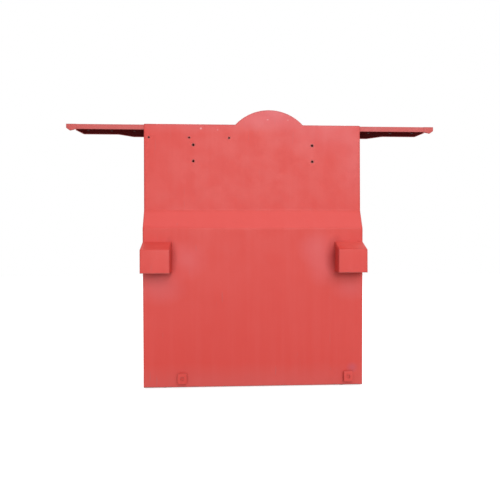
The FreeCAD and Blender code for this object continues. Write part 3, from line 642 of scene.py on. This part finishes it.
def add_tongue(bm, side):
    """The hooked strip past one wing's end, with its edges broken."""
    root = HALF_WIDTH + WING_REACH - LIP_WALL
    tip = HALF_WIDTH + WING_REACH + TONGUE_LENGTH
    outline = [
        (root, DECK_TOP - 0.0002),
        (tip, DECK_TOP - 0.0002),
        (tip, DECK_TOP - TONGUE_END_HEIGHT),
        (tip - TOOTH_FROM_TIP, DECK_TOP - TONGUE_HEIGHT - TOOTH_DROP),
        (HALF_WIDTH + WING_REACH + 0.003, DECK_TOP - TONGUE_HEIGHT),
        (root, DECK_TOP - TONGUE_HEIGHT),
    ]
    near = [bm.verts.new((side * x, LIP_FRONT_Y, z)) for x, z in outline]
    far = [bm.verts.new((side * x, LIP_FRONT_Y + TONGUE_THICKNESS, z)) for x, z in outline]
    faces = [bm.faces.new(near), bm.faces.new(list(reversed(far)))]
    for i in range(len(outline)):
        j = (i + 1) % len(outline)
        faces.append(bm.faces.new((near[j], near[i], far[i], far[j])))
    bmesh.ops.recalc_face_normals(bm, faces=faces)
    edges = {e for f in faces for e in f.edges}
    edges = [e for e in edges if min(abs(v.co.x) for v in e.verts) > HALF_WIDTH + WING_REACH]
    bmesh.ops.bevel(bm, geom=edges, offset=0.0018, segments=3, profile=0.5, affect="EDGES")


def build_deck(sizes):
    rim = sizes.rim_radius
    corner_radius, longest_edge = 0.005, 0.03
    outline = rounded(deck_outline(), corner_radius, steps=4, closed=True)
    outline = dense(outline + outline[:1], longest_edge)[:-1]
    bm = bmesh.new()
    rows = []
    for t in (0.0, 0.25, 0.5, 0.75, 1.0):
        row = []
        for p in outline:
            front = p.y < LIP_FRONT_Y + LIP_WALL
            bottom = DECK_TOP - (FRONT_LIP_HEIGHT if front else REAR_LIP_HEIGHT)
            row.append(bm.verts.new((p.x, p.y, bottom + (DECK_TOP - rim - bottom) * t)))
        rows.append(row)
    for k in range(1, 5):
        angle = math.radians(90 * k / 4)
        inset = offset_inward(outline, rim * (1 - math.cos(angle)))
        z = DECK_TOP - rim + rim * math.sin(angle)
        rows.append([bm.verts.new((p.x, p.y, z)) for p in inset])
    grid_faces(bm, rows, closed=True)
    top = bm.faces.new(rows[-1])
    bm.normal_update()
    if top.normal.z < 0:
        bmesh.ops.reverse_faces(bm, faces=bm.faces)
    deck = finish_object(bm, "deck_skin")
    thicken(deck, WALL)

    def rebate_and_filler(bm):
        rebate, past = 0.002, 0.01
        low, high = DECK_TOP - rebate, DECK_TOP + past
        front, back = LIP_FRONT_Y - 0.01, FACE_Y + FLANGE_DEPTH + LAP_GAP
        section = [(front, low), (back, low), (back, high), (front, high)]
        add_prism(bm, section, -HALF_WIDTH - LAP_GAP, HALF_WIDTH + LAP_GAP)
        filler = (FILLER[0] + FILLER[1]) / 2
        bottom = DECK_TOP - 2 * past
        add_rod(bm, (filler.x, filler.y, bottom), (filler.x, filler.y, high), FILLER_HOLE_R, 48)

    cut_away(deck, rebate_and_filler)
    bm = bmesh.new()
    bm.from_mesh(deck.data)
    for side in (-1, 1):
        add_tongue(bm, side)
    bm.to_mesh(deck.data)
    bm.free()
    shade(deck.data)
    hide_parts("deck")
    return deck


# ---------------------------------------------------------------- grips


def face_y_at(z):
    """The lower field's y at height z."""
    lean = (z - GROUND_GAP) / (BAND_BOTTOM - GROUND_GAP)
    return FACE_Y - FOOT_STEP - (BAND_STEP - FOOT_STEP) * lean


def build_grip(sizes, side):
    name = "right" if side > 0 else "left"
    front_y = GRIP_LOW[1]
    bottom = GRIP_LOW[2]
    into_shell, roof_lift = 0.0015, 0.0007
    section = [
        (front_y, bottom),
        (front_y, GRIP_FACE_TOP),
        (face_y_at(GRIP_ROOF_TOP) + into_shell, GRIP_ROOF_TOP + roof_lift),
        (face_y_at(bottom) + into_shell, bottom),
    ]
    bm = bmesh.new()
    x0, x1 = sorted((side * GRIP_LOW[0], side * GRIP_HIGH[0]))
    add_prism(bm, section, x0, x1)
    bm.normal_update()
    open_faces = [f for f in bm.faces if f.normal.z < -0.9 or f.normal.y > 0.9]
    bmesh.ops.delete(bm, geom=open_faces, context="FACES")
    edges = [e for e in bm.edges if not e.is_boundary]
    bmesh.ops.bevel(
        bm, geom=edges, offset=sizes.grip_radius, segments=4, profile=0.5, affect="EDGES", clamp_overlap=True
    )
    grip = finish_object(bm, "grip_skin_" + name, sharp=40.0)
    thicken(grip, GRIP_WALL)
    apply_modifiers(grip, sharp=40.0)
    bm = bmesh.new()
    bm.from_mesh(grip.data)
    for x in (GRIP_LOW[0] + GRIP_BOSS_FROM_SIDE, GRIP_HIGH[0] - GRIP_BOSS_FROM_SIDE):
        for z in GRIP_BOSS_HEIGHTS:
            wall = face_y_at(z)
            root, tip = (side * x, wall + 0.001, z), (side * x, wall - GRIP_BOSS_LENGTH, z)
            add_rod(bm, root, tip, GRIP_BOSS_R)
    bm.to_mesh(grip.data)
    bm.free()
    shade(grip.data, 40.0)
    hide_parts("grip_" + name)
    return grip


# ---------------------------------------------------------------- shared effects


def new_group(name, inputs, outputs):
    """A shader node group with named sockets: (kind, name, default)."""
    group = bpy.data.node_groups.new(name, "ShaderNodeTree")
    for kind, label, value in inputs:
        socket = group.interface.new_socket(name=label, in_out="INPUT", socket_type="NodeSocket" + kind)
        if value is not None:
            socket.default_value = value
    for kind, label in outputs:
        group.interface.new_socket(name=label, in_out="OUTPUT", socket_type="NodeSocket" + kind)
    return group, group.nodes.new("NodeGroupInput"), group.nodes.new("NodeGroupOutput")


def math_node(tree, operation, a, b=None, clamp=False):
    """A math node; a and b are numbers or sockets. Returns its output."""
    node = tree.nodes.new("ShaderNodeMath")
    node.operation = operation
    node.use_clamp = clamp
    for i, value in enumerate((a, b)):
        if value is None:
            continue
        if isinstance(value, (int, float)):
            node.inputs[i].default_value = value
        else:
            tree.links.new(value, node.inputs[i])
    return node.outputs[0]


def stretched_noise(tree, scales, size, detail, roughness=0.55):
    """Noise over object space, stretched by scales along X, Y and Z."""
    place = tree.nodes.new("ShaderNodeTexCoord")
    stretch = tree.nodes.new("ShaderNodeMapping")
    stretch.inputs["Scale"].default_value = scales
    grain = tree.nodes.new("ShaderNodeTexNoise")
    grain.inputs["Detail"].default_value = detail
    grain.inputs["Roughness"].default_value = roughness
    if isinstance(size, (int, float)):
        grain.inputs["Scale"].default_value = size
    else:
        tree.links.new(size, grain.inputs["Scale"])
    tree.links.new(place.outputs["Object"], stretch.inputs["Vector"])
    tree.links.new(stretch.outputs["Vector"], grain.inputs["Vector"])
    return grain.outputs["Fac"]


def ranged(tree, value, low, high, to_low=0.0, to_high=1.0):
    """Maps a value from low..high to to_low..to_high, smoothly and clamped."""
    node = tree.nodes.new("ShaderNodeMapRange")
    node.interpolation_type = "SMOOTHSTEP"
    node.inputs["From Min"].default_value = low
    node.inputs["From Max"].default_value = high
    node.inputs["To Min"].default_value = to_low
    node.inputs["To Max"].default_value = to_high
    tree.links.new(value, node.inputs["Value"])
    return node.outputs["Result"]


def make_sun_fade():
    """Chalky fading: clouds, vertical streaks, and more of it higher up."""
    group, into, out = new_group(
        "sun_fade",
        [("Float", "Amount", 0.5), ("Float", "Streaks", 0.3), ("Float", "Height Gain", 0.3)],
        [("Float", "Mask")],
    )
    clouds = ranged(group, stretched_noise(group, (1.0, 1.0, 0.7), 3.2, 4.0), 0.3, 0.72)
    streaks = ranged(group, stretched_noise(group, (1.0, 1.0, 0.045), 34.0, 5.0), 0.38, 0.7)
    place = group.nodes.new("ShaderNodeTexCoord")
    split = group.nodes.new("ShaderNodeSeparateXYZ")
    group.links.new(place.outputs["Object"], split.inputs["Vector"])
    height = ranged(group, split.outputs["Z"], 0.2, 1.1)
    cloudy = math_node(group, "MULTIPLY", clouds, into.outputs["Amount"])
    streaky = math_node(group, "MULTIPLY", streaks, into.outputs["Streaks"])
    raised = math_node(group, "MULTIPLY", height, into.outputs["Height Gain"])
    total = math_node(group, "ADD", math_node(group, "ADD", cloudy, streaky), raised, clamp=True)
    group.links.new(total, out.inputs["Mask"])
    return group


def make_round_mark():
    """A soft oval spot at a place on the object, its outline broken by noise."""
    group, into, out = new_group(
        "round_mark",
        [
            ("Vector", "Centre", None),
            ("Vector", "Radii", None),
            ("Float", "Softness", 0.5),
            ("Float", "Wander", 0.3),
        ],
        [("Float", "Mask")],
    )
    place = group.nodes.new("ShaderNodeTexCoord")
    offset = group.nodes.new("ShaderNodeVectorMath")
    offset.operation = "SUBTRACT"
    group.links.new(place.outputs["Object"], offset.inputs[0])
    group.links.new(into.outputs["Centre"], offset.inputs[1])
    scaled = group.nodes.new("ShaderNodeVectorMath")
    scaled.operation = "DIVIDE"
    group.links.new(offset.outputs["Vector"], scaled.inputs[0])
    group.links.new(into.outputs["Radii"], scaled.inputs[1])
    length = group.nodes.new("ShaderNodeVectorMath")
    length.operation = "LENGTH"
    group.links.new(scaled.outputs["Vector"], length.inputs[0])
    centred = math_node(group, "SUBTRACT", stretched_noise(group, (1, 1, 1), 13.0, 3.0), 0.5)
    wander = math_node(group, "MULTIPLY", centred, into.outputs["Wander"])
    reach = math_node(group, "ADD", length.outputs["Value"], wander)
    inside = math_node(group, "SUBTRACT", 1.0, reach)
    spot = math_node(group, "DIVIDE", inside, into.outputs["Softness"], clamp=True)
    group.links.new(spot, out.inputs["Mask"])
    return group


def make_worn_and_shaded_edges():
    """A mask of the convex edges, broken up by noise; the gel coats use it for painted shade, the other
    finishes for wear.
    """
    group, into, out = new_group(
        "worn_and_shaded_edges",
        [("Float", "Radius", 0.003), ("Float", "Breakup", 60.0)],
        [("Float", "Mask")],
    )
    bevel = group.nodes.new("ShaderNodeBevel")
    bevel.samples = 6
    group.links.new(into.outputs["Radius"], bevel.inputs["Radius"])
    geometry = group.nodes.new("ShaderNodeNewGeometry")
    dot = group.nodes.new("ShaderNodeVectorMath")
    dot.operation = "DOT_PRODUCT"
    group.links.new(bevel.outputs["Normal"], dot.inputs[0])
    group.links.new(geometry.outputs["Normal"], dot.inputs[1])
    turned = math_node(group, "SUBTRACT", 1.0, dot.outputs["Value"])
    edge = ranged(group, turned, 0.012, 0.1)
    noise_mask = stretched_noise(group, (1, 1, 1), into.outputs["Breakup"], 3.0)
    broken = ranged(group, noise_mask, 0.3, 0.62, 0.45, 1.0)
    group.links.new(math_node(group, "MULTIPLY", edge, broken, clamp=True), out.inputs["Mask"])
    return group


def make_moulded_grain():
    """Height of a moulded surface: orange peel and fine print."""
    group, into, out = new_group(
        "moulded_grain",
        [("Float", "Scale", 220.0), ("Float", "Fine", 0.3)],
        [("Float", "Height"), ("Float", "Roughness Mask")],
    )
    peel = stretched_noise(group, (1, 1, 1), into.outputs["Scale"], 2.0)
    print_grain = stretched_noise(group, (1, 1, 1), 900.0, 2.0)
    fine = math_node(group, "MULTIPLY", print_grain, into.outputs["Fine"])
    group.links.new(math_node(group, "ADD", peel, fine), out.inputs["Height"])
    patches = ranged(group, stretched_noise(group, (1, 1, 1), 11.0, 4.0), 0.3, 0.7)
    group.links.new(patches, out.inputs["Roughness Mask"])
    return group


def make_scuffs():
    """Short dull scrapes, thin and scattered, more of them low down."""
    group, into, out = new_group(
        "scuffs",
        [("Float", "Amount", 0.5)],
        [("Float", "Mask")],
    )
    scrapes = ranged(group, stretched_noise(group, (0.9, 0.9, 0.08), 150.0, 2.0, 0.4), 0.66, 0.72)
    patches = ranged(group, stretched_noise(group, (1, 1, 1), 5.5, 3.0), 0.52, 0.66)
    place = group.nodes.new("ShaderNodeTexCoord")
    split = group.nodes.new("ShaderNodeSeparateXYZ")
    group.links.new(place.outputs["Object"], split.inputs["Vector"])
    low = ranged(group, split.outputs["Z"], 0.0, 0.5, 1.0, 0.35)
    both = math_node(group, "MULTIPLY", scrapes, patches)
    placed = math_node(group, "MULTIPLY", both, low)
    scuffed = math_node(group, "MULTIPLY", placed, into.outputs["Amount"], clamp=True)
    group.links.new(scuffed, out.inputs["Mask"])
    return group


def effect(name, maker):
    return bpy.data.node_groups.get(name) or maker()


class Finish:
    """A material being built: a Principled shader and what feeds it."""

    def __init__(self, name, roughness, metallic=0.0, specular=0.5):
        self.material = bpy.data.materials.new(name)
        self.material.use_nodes = True
        self.tree = self.material.node_tree
        self.shader = self.tree.nodes["Principled BSDF"]
        self.shader.inputs["Roughness"].default_value = roughness
        self.shader.inputs["Metallic"].default_value = metallic
        self.shader.inputs["Specular IOR Level"].default_value = specular

    def group(self, name, maker, **values):
        node = self.tree.nodes.new("ShaderNodeGroup")
        node.node_tree = effect(name, maker)
        for key, value in values.items():
            node.inputs[key.replace("_", " ")].default_value = value
        return node

    def mix(self, mask, a, b, strength=1.0):
        """Mixes two colours by a mask; a may be a socket."""
        node = self.tree.nodes.new("ShaderNodeMix")
        node.data_type = "RGBA"
        if strength != 1.0:
            mask = math_node(self.tree, "MULTIPLY", mask, strength)
        self.tree.links.new(mask, node.inputs["Factor"])
        for key, value in (("A", a), ("B", b)):
            socket = [s for s in node.inputs if s.name == key and s.type == "RGBA"][0]
            if isinstance(value, tuple):
                socket.default_value = (*value, 1.0)
            else:
                self.tree.links.new(value, socket)
        return [s for s in node.outputs if s.type == "RGBA"][0]

    def base(self, colour):
        self.tree.links.new(colour, self.shader.inputs["Base Color"])

    def rough(self, mask, low, high):
        self.tree.links.new(ranged(self.tree, mask, 0.0, 1.0, low, high), self.shader.inputs["Roughness"])

    def bump(self, height, strength, distance):
        node = self.tree.nodes.new("ShaderNodeBump")
        node.inputs["Strength"].default_value = strength
        node.inputs["Distance"].default_value = distance
        self.tree.links.new(height, node.inputs["Height"])
        self.tree.links.new(node.outputs["Normal"], self.shader.inputs["Normal"])


def gel_coat(name, colours, fade, streaks, height_gain, darkening, marks=(), dusty=False):
    """The shells' faded red gel coat, with painted shade along its edges. Marks are (centre, radii,
    softness, colour, strength).
    """
    finish = Finish(name, 0.45, specular=0.4)
    plain, pale = (colours.deck, colours.deck_faded) if dusty else (colours.shell, colours.shell_faded)
    fading = finish.group("sun_fade", make_sun_fade, Amount=fade, Streaks=streaks, Height_Gain=height_gain)
    colour = finish.mix(fading.outputs["Mask"], tuple(plain), tuple(pale))
    for centre, radii, softness, tint, strength in marks:
        mark = finish.group("round_mark", make_round_mark, Centre=centre, Radii=radii, Softness=softness)
        colour = finish.mix(mark.outputs["Mask"], colour, tint, strength)
    scraped = finish.group("scuffs", make_scuffs, Amount=0.4)
    colour = finish.mix(scraped.outputs["Mask"], colour, (0.42, 0.14, 0.13))
    # Painted shade: the edges and creases drawn darker in the edge shade colour.
    edge_mask = finish.group("worn_and_shaded_edges", make_worn_and_shaded_edges, Radius=0.007, Breakup=45.0)
    colour = finish.mix(edge_mask.outputs["Mask"], colour, tuple(colours.edge_shade), darkening)
    finish.base(colour)
    grain = finish.group("moulded_grain", make_moulded_grain, Scale=160.0, Fine=0.25)
    finish.rough(grain.outputs["Roughness Mask"], 0.42, 0.54)
    finish.bump(grain.outputs["Height"], 0.12, 0.0006)
    return finish.material


def moulded(name, dark, pale, roughness, scale=200.0, bump=0.2, edge=0.4, specular=0.5):
    """A plain moulded or rubber finish with mottling and worn edges."""
    finish = Finish(name, roughness, specular=specular)
    fading = finish.group("sun_fade", make_sun_fade, Amount=0.6, Streaks=0.1, Height_Gain=0.0)
    colour = finish.mix(fading.outputs["Mask"], dark, pale)
    edge_mask = finish.group("worn_and_shaded_edges", make_worn_and_shaded_edges, Radius=0.0015, Breakup=80.0)
    lighter = tuple(min(1.0, c * 1.5 + 0.03) for c in pale)
    finish.base(finish.mix(edge_mask.outputs["Mask"], colour, lighter, edge))
    grain = finish.group("moulded_grain", make_moulded_grain, Scale=scale, Fine=0.5)
    finish.rough(grain.outputs["Roughness Mask"], max(0.05, roughness - 0.08), min(1.0, roughness + 0.1))
    finish.bump(grain.outputs["Height"], bump, 0.0005)
    return finish.material


def metal(name, dark, pale, roughness, spangle=26.0):
    """Zinc or brass with spangle or turning marks and bright edges."""
    finish = Finish(name, roughness, metallic=1.0)
    patches = ranged(finish.tree, stretched_noise(finish.tree, (1, 1, 1), spangle, 3.0), 0.3, 0.7)
    colour = finish.mix(patches, dark, pale)
    edge_mask = finish.group("worn_and_shaded_edges", make_worn_and_shaded_edges, Radius=0.0008, Breakup=120.0)
    bright = tuple(min(1.0, c * 1.25) for c in pale)
    finish.base(finish.mix(edge_mask.outputs["Mask"], colour, bright, 0.6))
    grain = finish.group("moulded_grain", make_moulded_grain, Scale=500.0, Fine=0.6)
    finish.rough(grain.outputs["Roughness Mask"], roughness - 0.07, roughness + 0.1)
    finish.bump(grain.outputs["Height"], 0.1, 0.0003)
    return finish.material


def plain_finishes():
    """Materials for the nodes that are carried over, by the record's slot."""
    return {
        # The liners' near-black red is painted shade under the wings.
        "liner_dark": moulded(
            "liner_dark", (0.053, 0.0015, 0.0015), (0.09, 0.003, 0.003), 0.95, edge=0.1, specular=0.02
        ),
        "frame_steel": metal("galvanised_steel", (0.36, 0.37, 0.38), (0.52, 0.53, 0.54), 0.45),
        "zinc_fixings": metal("zinc_plate", (0.5, 0.5, 0.49), (0.66, 0.65, 0.6), 0.32, 90.0),
        "tank_white": moulded("tank_polyethylene", (0.6, 0.61, 0.56), (0.74, 0.74, 0.7), 0.45),
        "hose_rubber": moulded("hose_rubber", (0.018, 0.018, 0.019), (0.04, 0.04, 0.042), 0.62, 300.0),
        "seal_rubber": moulded("seal_rubber", (0.02, 0.02, 0.02), (0.045, 0.045, 0.045), 0.7, 300.0),
        "filler_plastic": moulded("filler_plastic", (0.02, 0.02, 0.022), (0.05, 0.05, 0.052), 0.38),
        "bush_brass": metal("bush_brass", (0.52, 0.37, 0.15), (0.68, 0.5, 0.24), 0.3, 60.0),
        "foot_rubber": moulded("foot_rubber", (0.02, 0.02, 0.02), (0.05, 0.048, 0.046), 0.8, 260.0, 0.35),
    }


def set_material(obj, material):
    if not obj.material_slots:
        obj.data.materials.append(material)
    for place in obj.material_slots:
        place.material = material


# ---------------------------------------------------------------- operators


def shell_marks():
    """Chalk bloom with painted sheen by the grips and along the crest, a painted highlight on the band, a
    duller red along the foot, painted shade beside and under the grips, painted glints near the top, one
    purple-grey patch low on the right.
    """
    # Pale veil: chalk bloom, and painted sheen where light would glance off the gel coat.
    bloom_and_sheen = (0.71, 0.165, 0.18)
    # Dark red painted shade, drawn beside the grips and as their shadow below.
    painted_shade = (0.36, 0.013, 0.013)
    # Pale colour of the painted glints near the top edge.
    spot = (0.80, 0.40, 0.40)
    front = FACE_Y - BAND_STEP
    return [
        # Painted highlight: the upward sloping band drawn lighter, as light from above falls on it.
        ((0.05, front, 0.66), (0.9, 0.2, 0.045), 0.3, (0.77, 0.10, 0.09), 0.5),
        ((0.0, front, 0.0), (1.2, 0.2, 0.10), 0.8, (0.62, 0.12, 0.11), 0.45),
        # Chalk bloom and painted sheen round the two grips.
        ((-0.258, front, 0.50), (0.085, 0.1, 0.085), 0.9, bloom_and_sheen, 0.28),
        ((-0.368, front, 0.398), (0.12, 0.1, 0.085), 0.9, bloom_and_sheen, 0.3),
        ((0.248, front, 0.545), (0.085, 0.1, 0.085), 0.9, bloom_and_sheen, 0.34),
        ((0.278, front, 0.465), (0.08, 0.1, 0.08), 0.9, bloom_and_sheen, 0.28),
        ((0.385, front, 0.39), (0.09, 0.1, 0.06), 0.9, bloom_and_sheen, 0.25),
        # Painted shade beside the grips' inner sides.
        ((-0.325, front, 0.512), (0.032, 0.1, 0.085), 0.9, painted_shade, 0.66),
        ((0.322, front, 0.512), (0.046, 0.1, 0.09), 0.9, painted_shade, 0.85),
        # Painted shadow under both grips.
        ((-0.388, front, 0.452), (0.075, 0.1, 0.022), 0.9, painted_shade, 0.5),
        ((0.388, front, 0.452), (0.075, 0.1, 0.022), 0.9, painted_shade, 0.5),
        # Chalk bloom and painted sheen along the crest and down the top right.
        ((0.075, FACE_Y, 1.085), (0.20, 0.05, 0.085), 0.9, bloom_and_sheen, 0.62),
        ((-0.22, FACE_Y, 1.045), (0.34, 0.05, 0.05), 0.9, bloom_and_sheen, 0.3),
        ((0.29, FACE_Y, 1.03), (0.28, 0.05, 0.13), 0.9, bloom_and_sheen, 0.3),
        ((0.41, FACE_Y, 0.88), (0.08, 0.05, 0.17), 0.9, bloom_and_sheen, 0.2),
        # Painted glints: small pale spots near the top edge.
        ((-0.206, FACE_Y, 1.019), (0.0055, 0.009, 0.0055), 0.8, spot, 0.8),
        ((-0.14, FACE_Y, 1.014), (0.0045, 0.009, 0.004), 0.8, spot, 0.4),
        ((0.058, FACE_Y, 1.056), (0.006, 0.009, 0.0035), 0.8, spot, 0.55),
        ((0.139, FACE_Y, 1.055), (0.005, 0.009, 0.0035), 0.8, spot, 0.4),
        # A purple-grey patch low on the right, by the right drain.
        ((0.388, FACE_Y - FOOT_STEP, 0.073), (0.026, 0.03, 0.024), 0.9, (0.42, 0.11, 0.19), 0.36),
    ]


def grip_marks():
    """Painted shade on the sides that face the middle, and a painted highlight that pales the right roof a
    little more.
    """
    middle_y = (GRIP_LOW[1] + GRIP_HIGH[1]) / 2
    middle_z = (GRIP_LOW[2] + GRIP_HIGH[2]) / 2
    shadow = (0.34, 0.013, 0.013)
    return [
        # Painted shade on the grips' sides that face the middle.
        ((-GRIP_LOW[0], middle_y, middle_z), (0.006, 0.12, 0.12), 0.3, shadow, 0.3),
        ((GRIP_LOW[0], middle_y, middle_z), (0.006, 0.12, 0.12), 0.3, shadow, 0.34),
        # Painted highlight: the right grip's roof drawn paler.
        ((0.39, middle_y, 0.562), (0.09, 0.09, 0.026), 0.5, (0.78, 0.13, 0.11), 0.45),
    ]


class BARRIER_OT_front_shell(bpy.types.Operator):
    """Builds the front shell with its crest, band, rolled top edge and holes."""

    bl_idname = "barrier.front_shell"
    bl_label = "Front Shell"

    def execute(self, context):
        shell = build_front_shell(context.scene.barrier_sizes)
        colours = context.scene.barrier_colours
        set_material(shell, gel_coat("shell_gel_coat", colours, 0.11, 0.13, 0.04, 1.0, shell_marks()))
        return {"FINISHED"}


class BARRIER_OT_rear_shell(bpy.types.Operator):
    """Builds the rear shell with its shoulder, pressed channels, sides and floor."""

    bl_idname = "barrier.rear_shell"
    bl_label = "Rear Shell"

    def execute(self, context):
        shell = build_rear_shell(context.scene.barrier_sizes)
        set_material(shell, gel_coat("rear_gel_coat", context.scene.barrier_colours, 0.4, 0.14, 0.1, 0.4))
        return {"FINISHED"}


class BARRIER_OT_deck(bpy.types.Operator):
    """Builds the deck, its two wings and the hooked strips at their ends."""

    bl_idname = "barrier.deck"
    bl_label = "Deck"

    def execute(self, context):
        deck = build_deck(context.scene.barrier_sizes)
        colours = context.scene.barrier_colours
        set_material(deck, gel_coat("deck_gel_coat", colours, 0.4, 0.1, 0.1, 0.3, dusty=True))
        return {"FINISHED"}


class BARRIER_OT_grips(bpy.types.Operator):
    """Builds the two hand grips with their inside bosses."""

    bl_idname = "barrier.grips"
    bl_label = "Hand Grips"

    def execute(self, context):
        colours = context.scene.barrier_colours
        material = gel_coat("grip_gel_coat", colours, 0.24, 0.1, 0.1, 0.5, grip_marks())
        for side in (-1, 1):
            set_material(build_grip(context.scene.barrier_sizes, side), material)
        return {"FINISHED"}


class BARRIER_OT_finishes(bpy.types.Operator):
    """Gives every carried-over node its finish."""

    bl_idname = "barrier.finishes"
    bl_label = "Finishes"

    def execute(self, context):
        finishes = plain_finishes()
        colours = context.scene.barrier_colours
        red = gel_coat("plug_gel_coat", colours, 0.3, 0.1, 0.1, 0.3)
        finishes["shell_red"] = red
        finishes["plug_red"] = red
        finishes["rivets"] = red
        # The wing screws are drawn near black as painted shade, so they sit dark in the wings' undersides.
        screw_shade = moulded("screws_painted_shade", (0.012, 0.008, 0.008), (0.03, 0.02, 0.02), 0.6, specular=0.2)
        primer = moulded("red_primer", (0.2, 0.012, 0.01), (0.28, 0.02, 0.018), 0.7, specular=0.2)
        special = {"wing_screws": screw_shade, "sign_plate": primer, "accessory_strip": primer}
        slots = {entry["node"]: entry["material_slot"] for entry in frame["record"]["subparts"]}
        for node, obj in frame["nodes"].items():
            own = [material for start, material in special.items() if node.startswith(start)]
            set_material(obj, own[0] if own else finishes[slots[node]])
        return {"FINISHED"}


class BARRIER_OT_stage(bpy.types.Operator):
    """Sets the floor, the light and the camera."""

    bl_idname = "barrier.stage"
    bl_label = "Stage"

    def execute(self, context):
        scene = context.scene
        add_floor(tuple(scene.barrier_colours.floor))
        add_world(scene)
        add_lights(scene)
        add_camera(scene)
        scene.view_settings.view_transform = "Standard"
        scene.view_settings.look = "None"
        return {"FINISHED"}


def add_floor(colour):
    size = 9.0
    bm = bmesh.new()
    corners = [(-size, -size, 0), (size, -size, 0), (size, size, 0), (-size, size, 0)]
    bm.faces.new([bm.verts.new(c) for c in corners])
    mesh = bpy.data.meshes.new("floor")
    bm.to_mesh(mesh)
    bm.free()
    floor = bpy.data.objects.new("floor", mesh)
    bpy.context.scene.collection.objects.link(floor)
    finish = Finish("studio_floor", 0.85, specular=0.1)
    finish.shader.inputs["Base Color"].default_value = (*colour, 1.0)
    finish.shader.inputs["Emission Color"].default_value = (1.0, 1.0, 1.0, 1.0)
    seen = finish.tree.nodes.new("ShaderNodeLightPath").outputs["Is Camera Ray"]
    glow = math_node(finish.tree, "MULTIPLY", seen, FLOOR_GLOW)
    finish.tree.links.new(glow, finish.shader.inputs["Emission Strength"])
    mesh.materials.append(finish.material)


def add_world(scene):
    """A white surround that lights the barrier softly, more from above than from below."""
    world = bpy.data.worlds.new("studio")
    world.use_nodes = True
    tree = world.node_tree
    background = tree.nodes["Background"]
    background.inputs["Color"].default_value = (1.0, 1.0, 1.0, 1.0)
    direction = tree.nodes.new("ShaderNodeTexCoord")
    split = tree.nodes.new("ShaderNodeSeparateXYZ")
    tree.links.new(direction.outputs["Generated"], split.inputs["Vector"])
    glow = ranged(tree, split.outputs["Z"], -0.2, 0.9, SKY_LOW, SKY_HIGH)
    seen = tree.nodes.new("ShaderNodeLightPath").outputs["Is Camera Ray"]
    tree.links.new(math_node(tree, "MAXIMUM", seen, glow), background.inputs["Strength"])
    scene.world = world


def add_lights(scene):
    # name, azimuth, elevation, distance, diameter, power, colour
    lamps = [
        ("key", 15.0, 25.0, 7.0, 4.4, 207.0, (0.96, 0.98, 1.0)),
        ("fill", -9.0, 4.0, 7.0, 4.0, 116.0, (1.0, 0.985, 0.99)),
        ("back", 180.0, 38.0, 7.0, 4.0, 190.0, (1.0, 1.0, 1.0)),
    ]
    middle = Vector((0.0, FACE_Y, BODY_TOP / 2))
    for name, azimuth, elevation, distance, size, power, tint in lamps:
        lamp = bpy.data.lights.new(name, "AREA")
        lamp.shape = "DISK"
        lamp.size = size
        lamp.energy = power
        lamp.color = tint
        obj = bpy.data.objects.new(name, lamp)
        scene.collection.objects.link(obj)
        a, e = math.radians(azimuth), math.radians(elevation)
        aim = Vector((math.sin(a) * math.cos(e), -math.cos(a) * math.cos(e), math.sin(e)))
        obj.location = middle + aim * distance
        obj.rotation_euler = (-aim).to_track_quat("-Z", "Y").to_euler()


def add_camera(scene):
    """Standing in front, a little left of the middle, at half the barrier's height."""
    camera = bpy.data.cameras.new("camera")
    camera.sensor_width = 36.0
    camera.lens = 35.64
    camera.shift_x = -0.0022
    camera.shift_y = 0.0046
    camera.dof.use_dof = False
    obj = bpy.data.objects.new("camera", camera)
    scene.collection.objects.link(obj)
    yaw, roll = math.radians(2.86), math.radians(-0.18)
    upright = Matrix.Rotation(math.pi / 2, 4, "X")
    turn = Matrix.Rotation(-yaw, 4, "Z") @ upright @ Matrix.Rotation(roll, 4, "Z")
    obj.matrix_world = Matrix.Translation((-0.1071, -2.0466, 0.5295)) @ turn
    scene.camera = obj


class BARRIER_PT_panel(bpy.types.Panel):
    """Lists the barrier's pieces in the sidebar."""

    bl_label = "Water Filled Barrier"
    bl_idname = "BARRIER_PT_panel"
    bl_space_type = "VIEW_3D"
    bl_region_type = "UI"
    bl_category = "Barrier"

    def draw(self, context):
        sizes = context.scene.barrier_sizes
        for name in sizes.bl_rna.properties.keys()[2:]:
            self.layout.prop(sizes, name)
        colours = context.scene.barrier_colours
        for name in colours.bl_rna.properties.keys()[2:]:
            self.layout.prop(colours, name)
        for operator in OPERATORS:
            self.layout.operator(operator.bl_idname)


OPERATORS = (
    BARRIER_OT_finishes,
    BARRIER_OT_front_shell,
    BARRIER_OT_rear_shell,
    BARRIER_OT_deck,
    BARRIER_OT_grips,
    BARRIER_OT_stage,
)
CLASSES = (BarrierSizes, BarrierColours, *OPERATORS, BARRIER_PT_panel)


def register():
    for cls in CLASSES:
        bpy.utils.register_class(cls)
    bpy.types.Scene.barrier_sizes = bpy.props.PointerProperty(type=BarrierSizes)
    bpy.types.Scene.barrier_colours = bpy.props.PointerProperty(type=BarrierColours)


def unregister():
    del bpy.types.Scene.barrier_colours
    del bpy.types.Scene.barrier_sizes
    for cls in reversed(CLASSES):
        bpy.utils.unregister_class(cls)


def main():
    register()
    bpy.ops.barrier.finishes()
    bpy.ops.barrier.front_shell()
    bpy.ops.barrier.rear_shell()
    bpy.ops.barrier.deck()
    bpy.ops.barrier.grips()
    bpy.ops.barrier.stage()


if __name__ == "__main__":
    main()
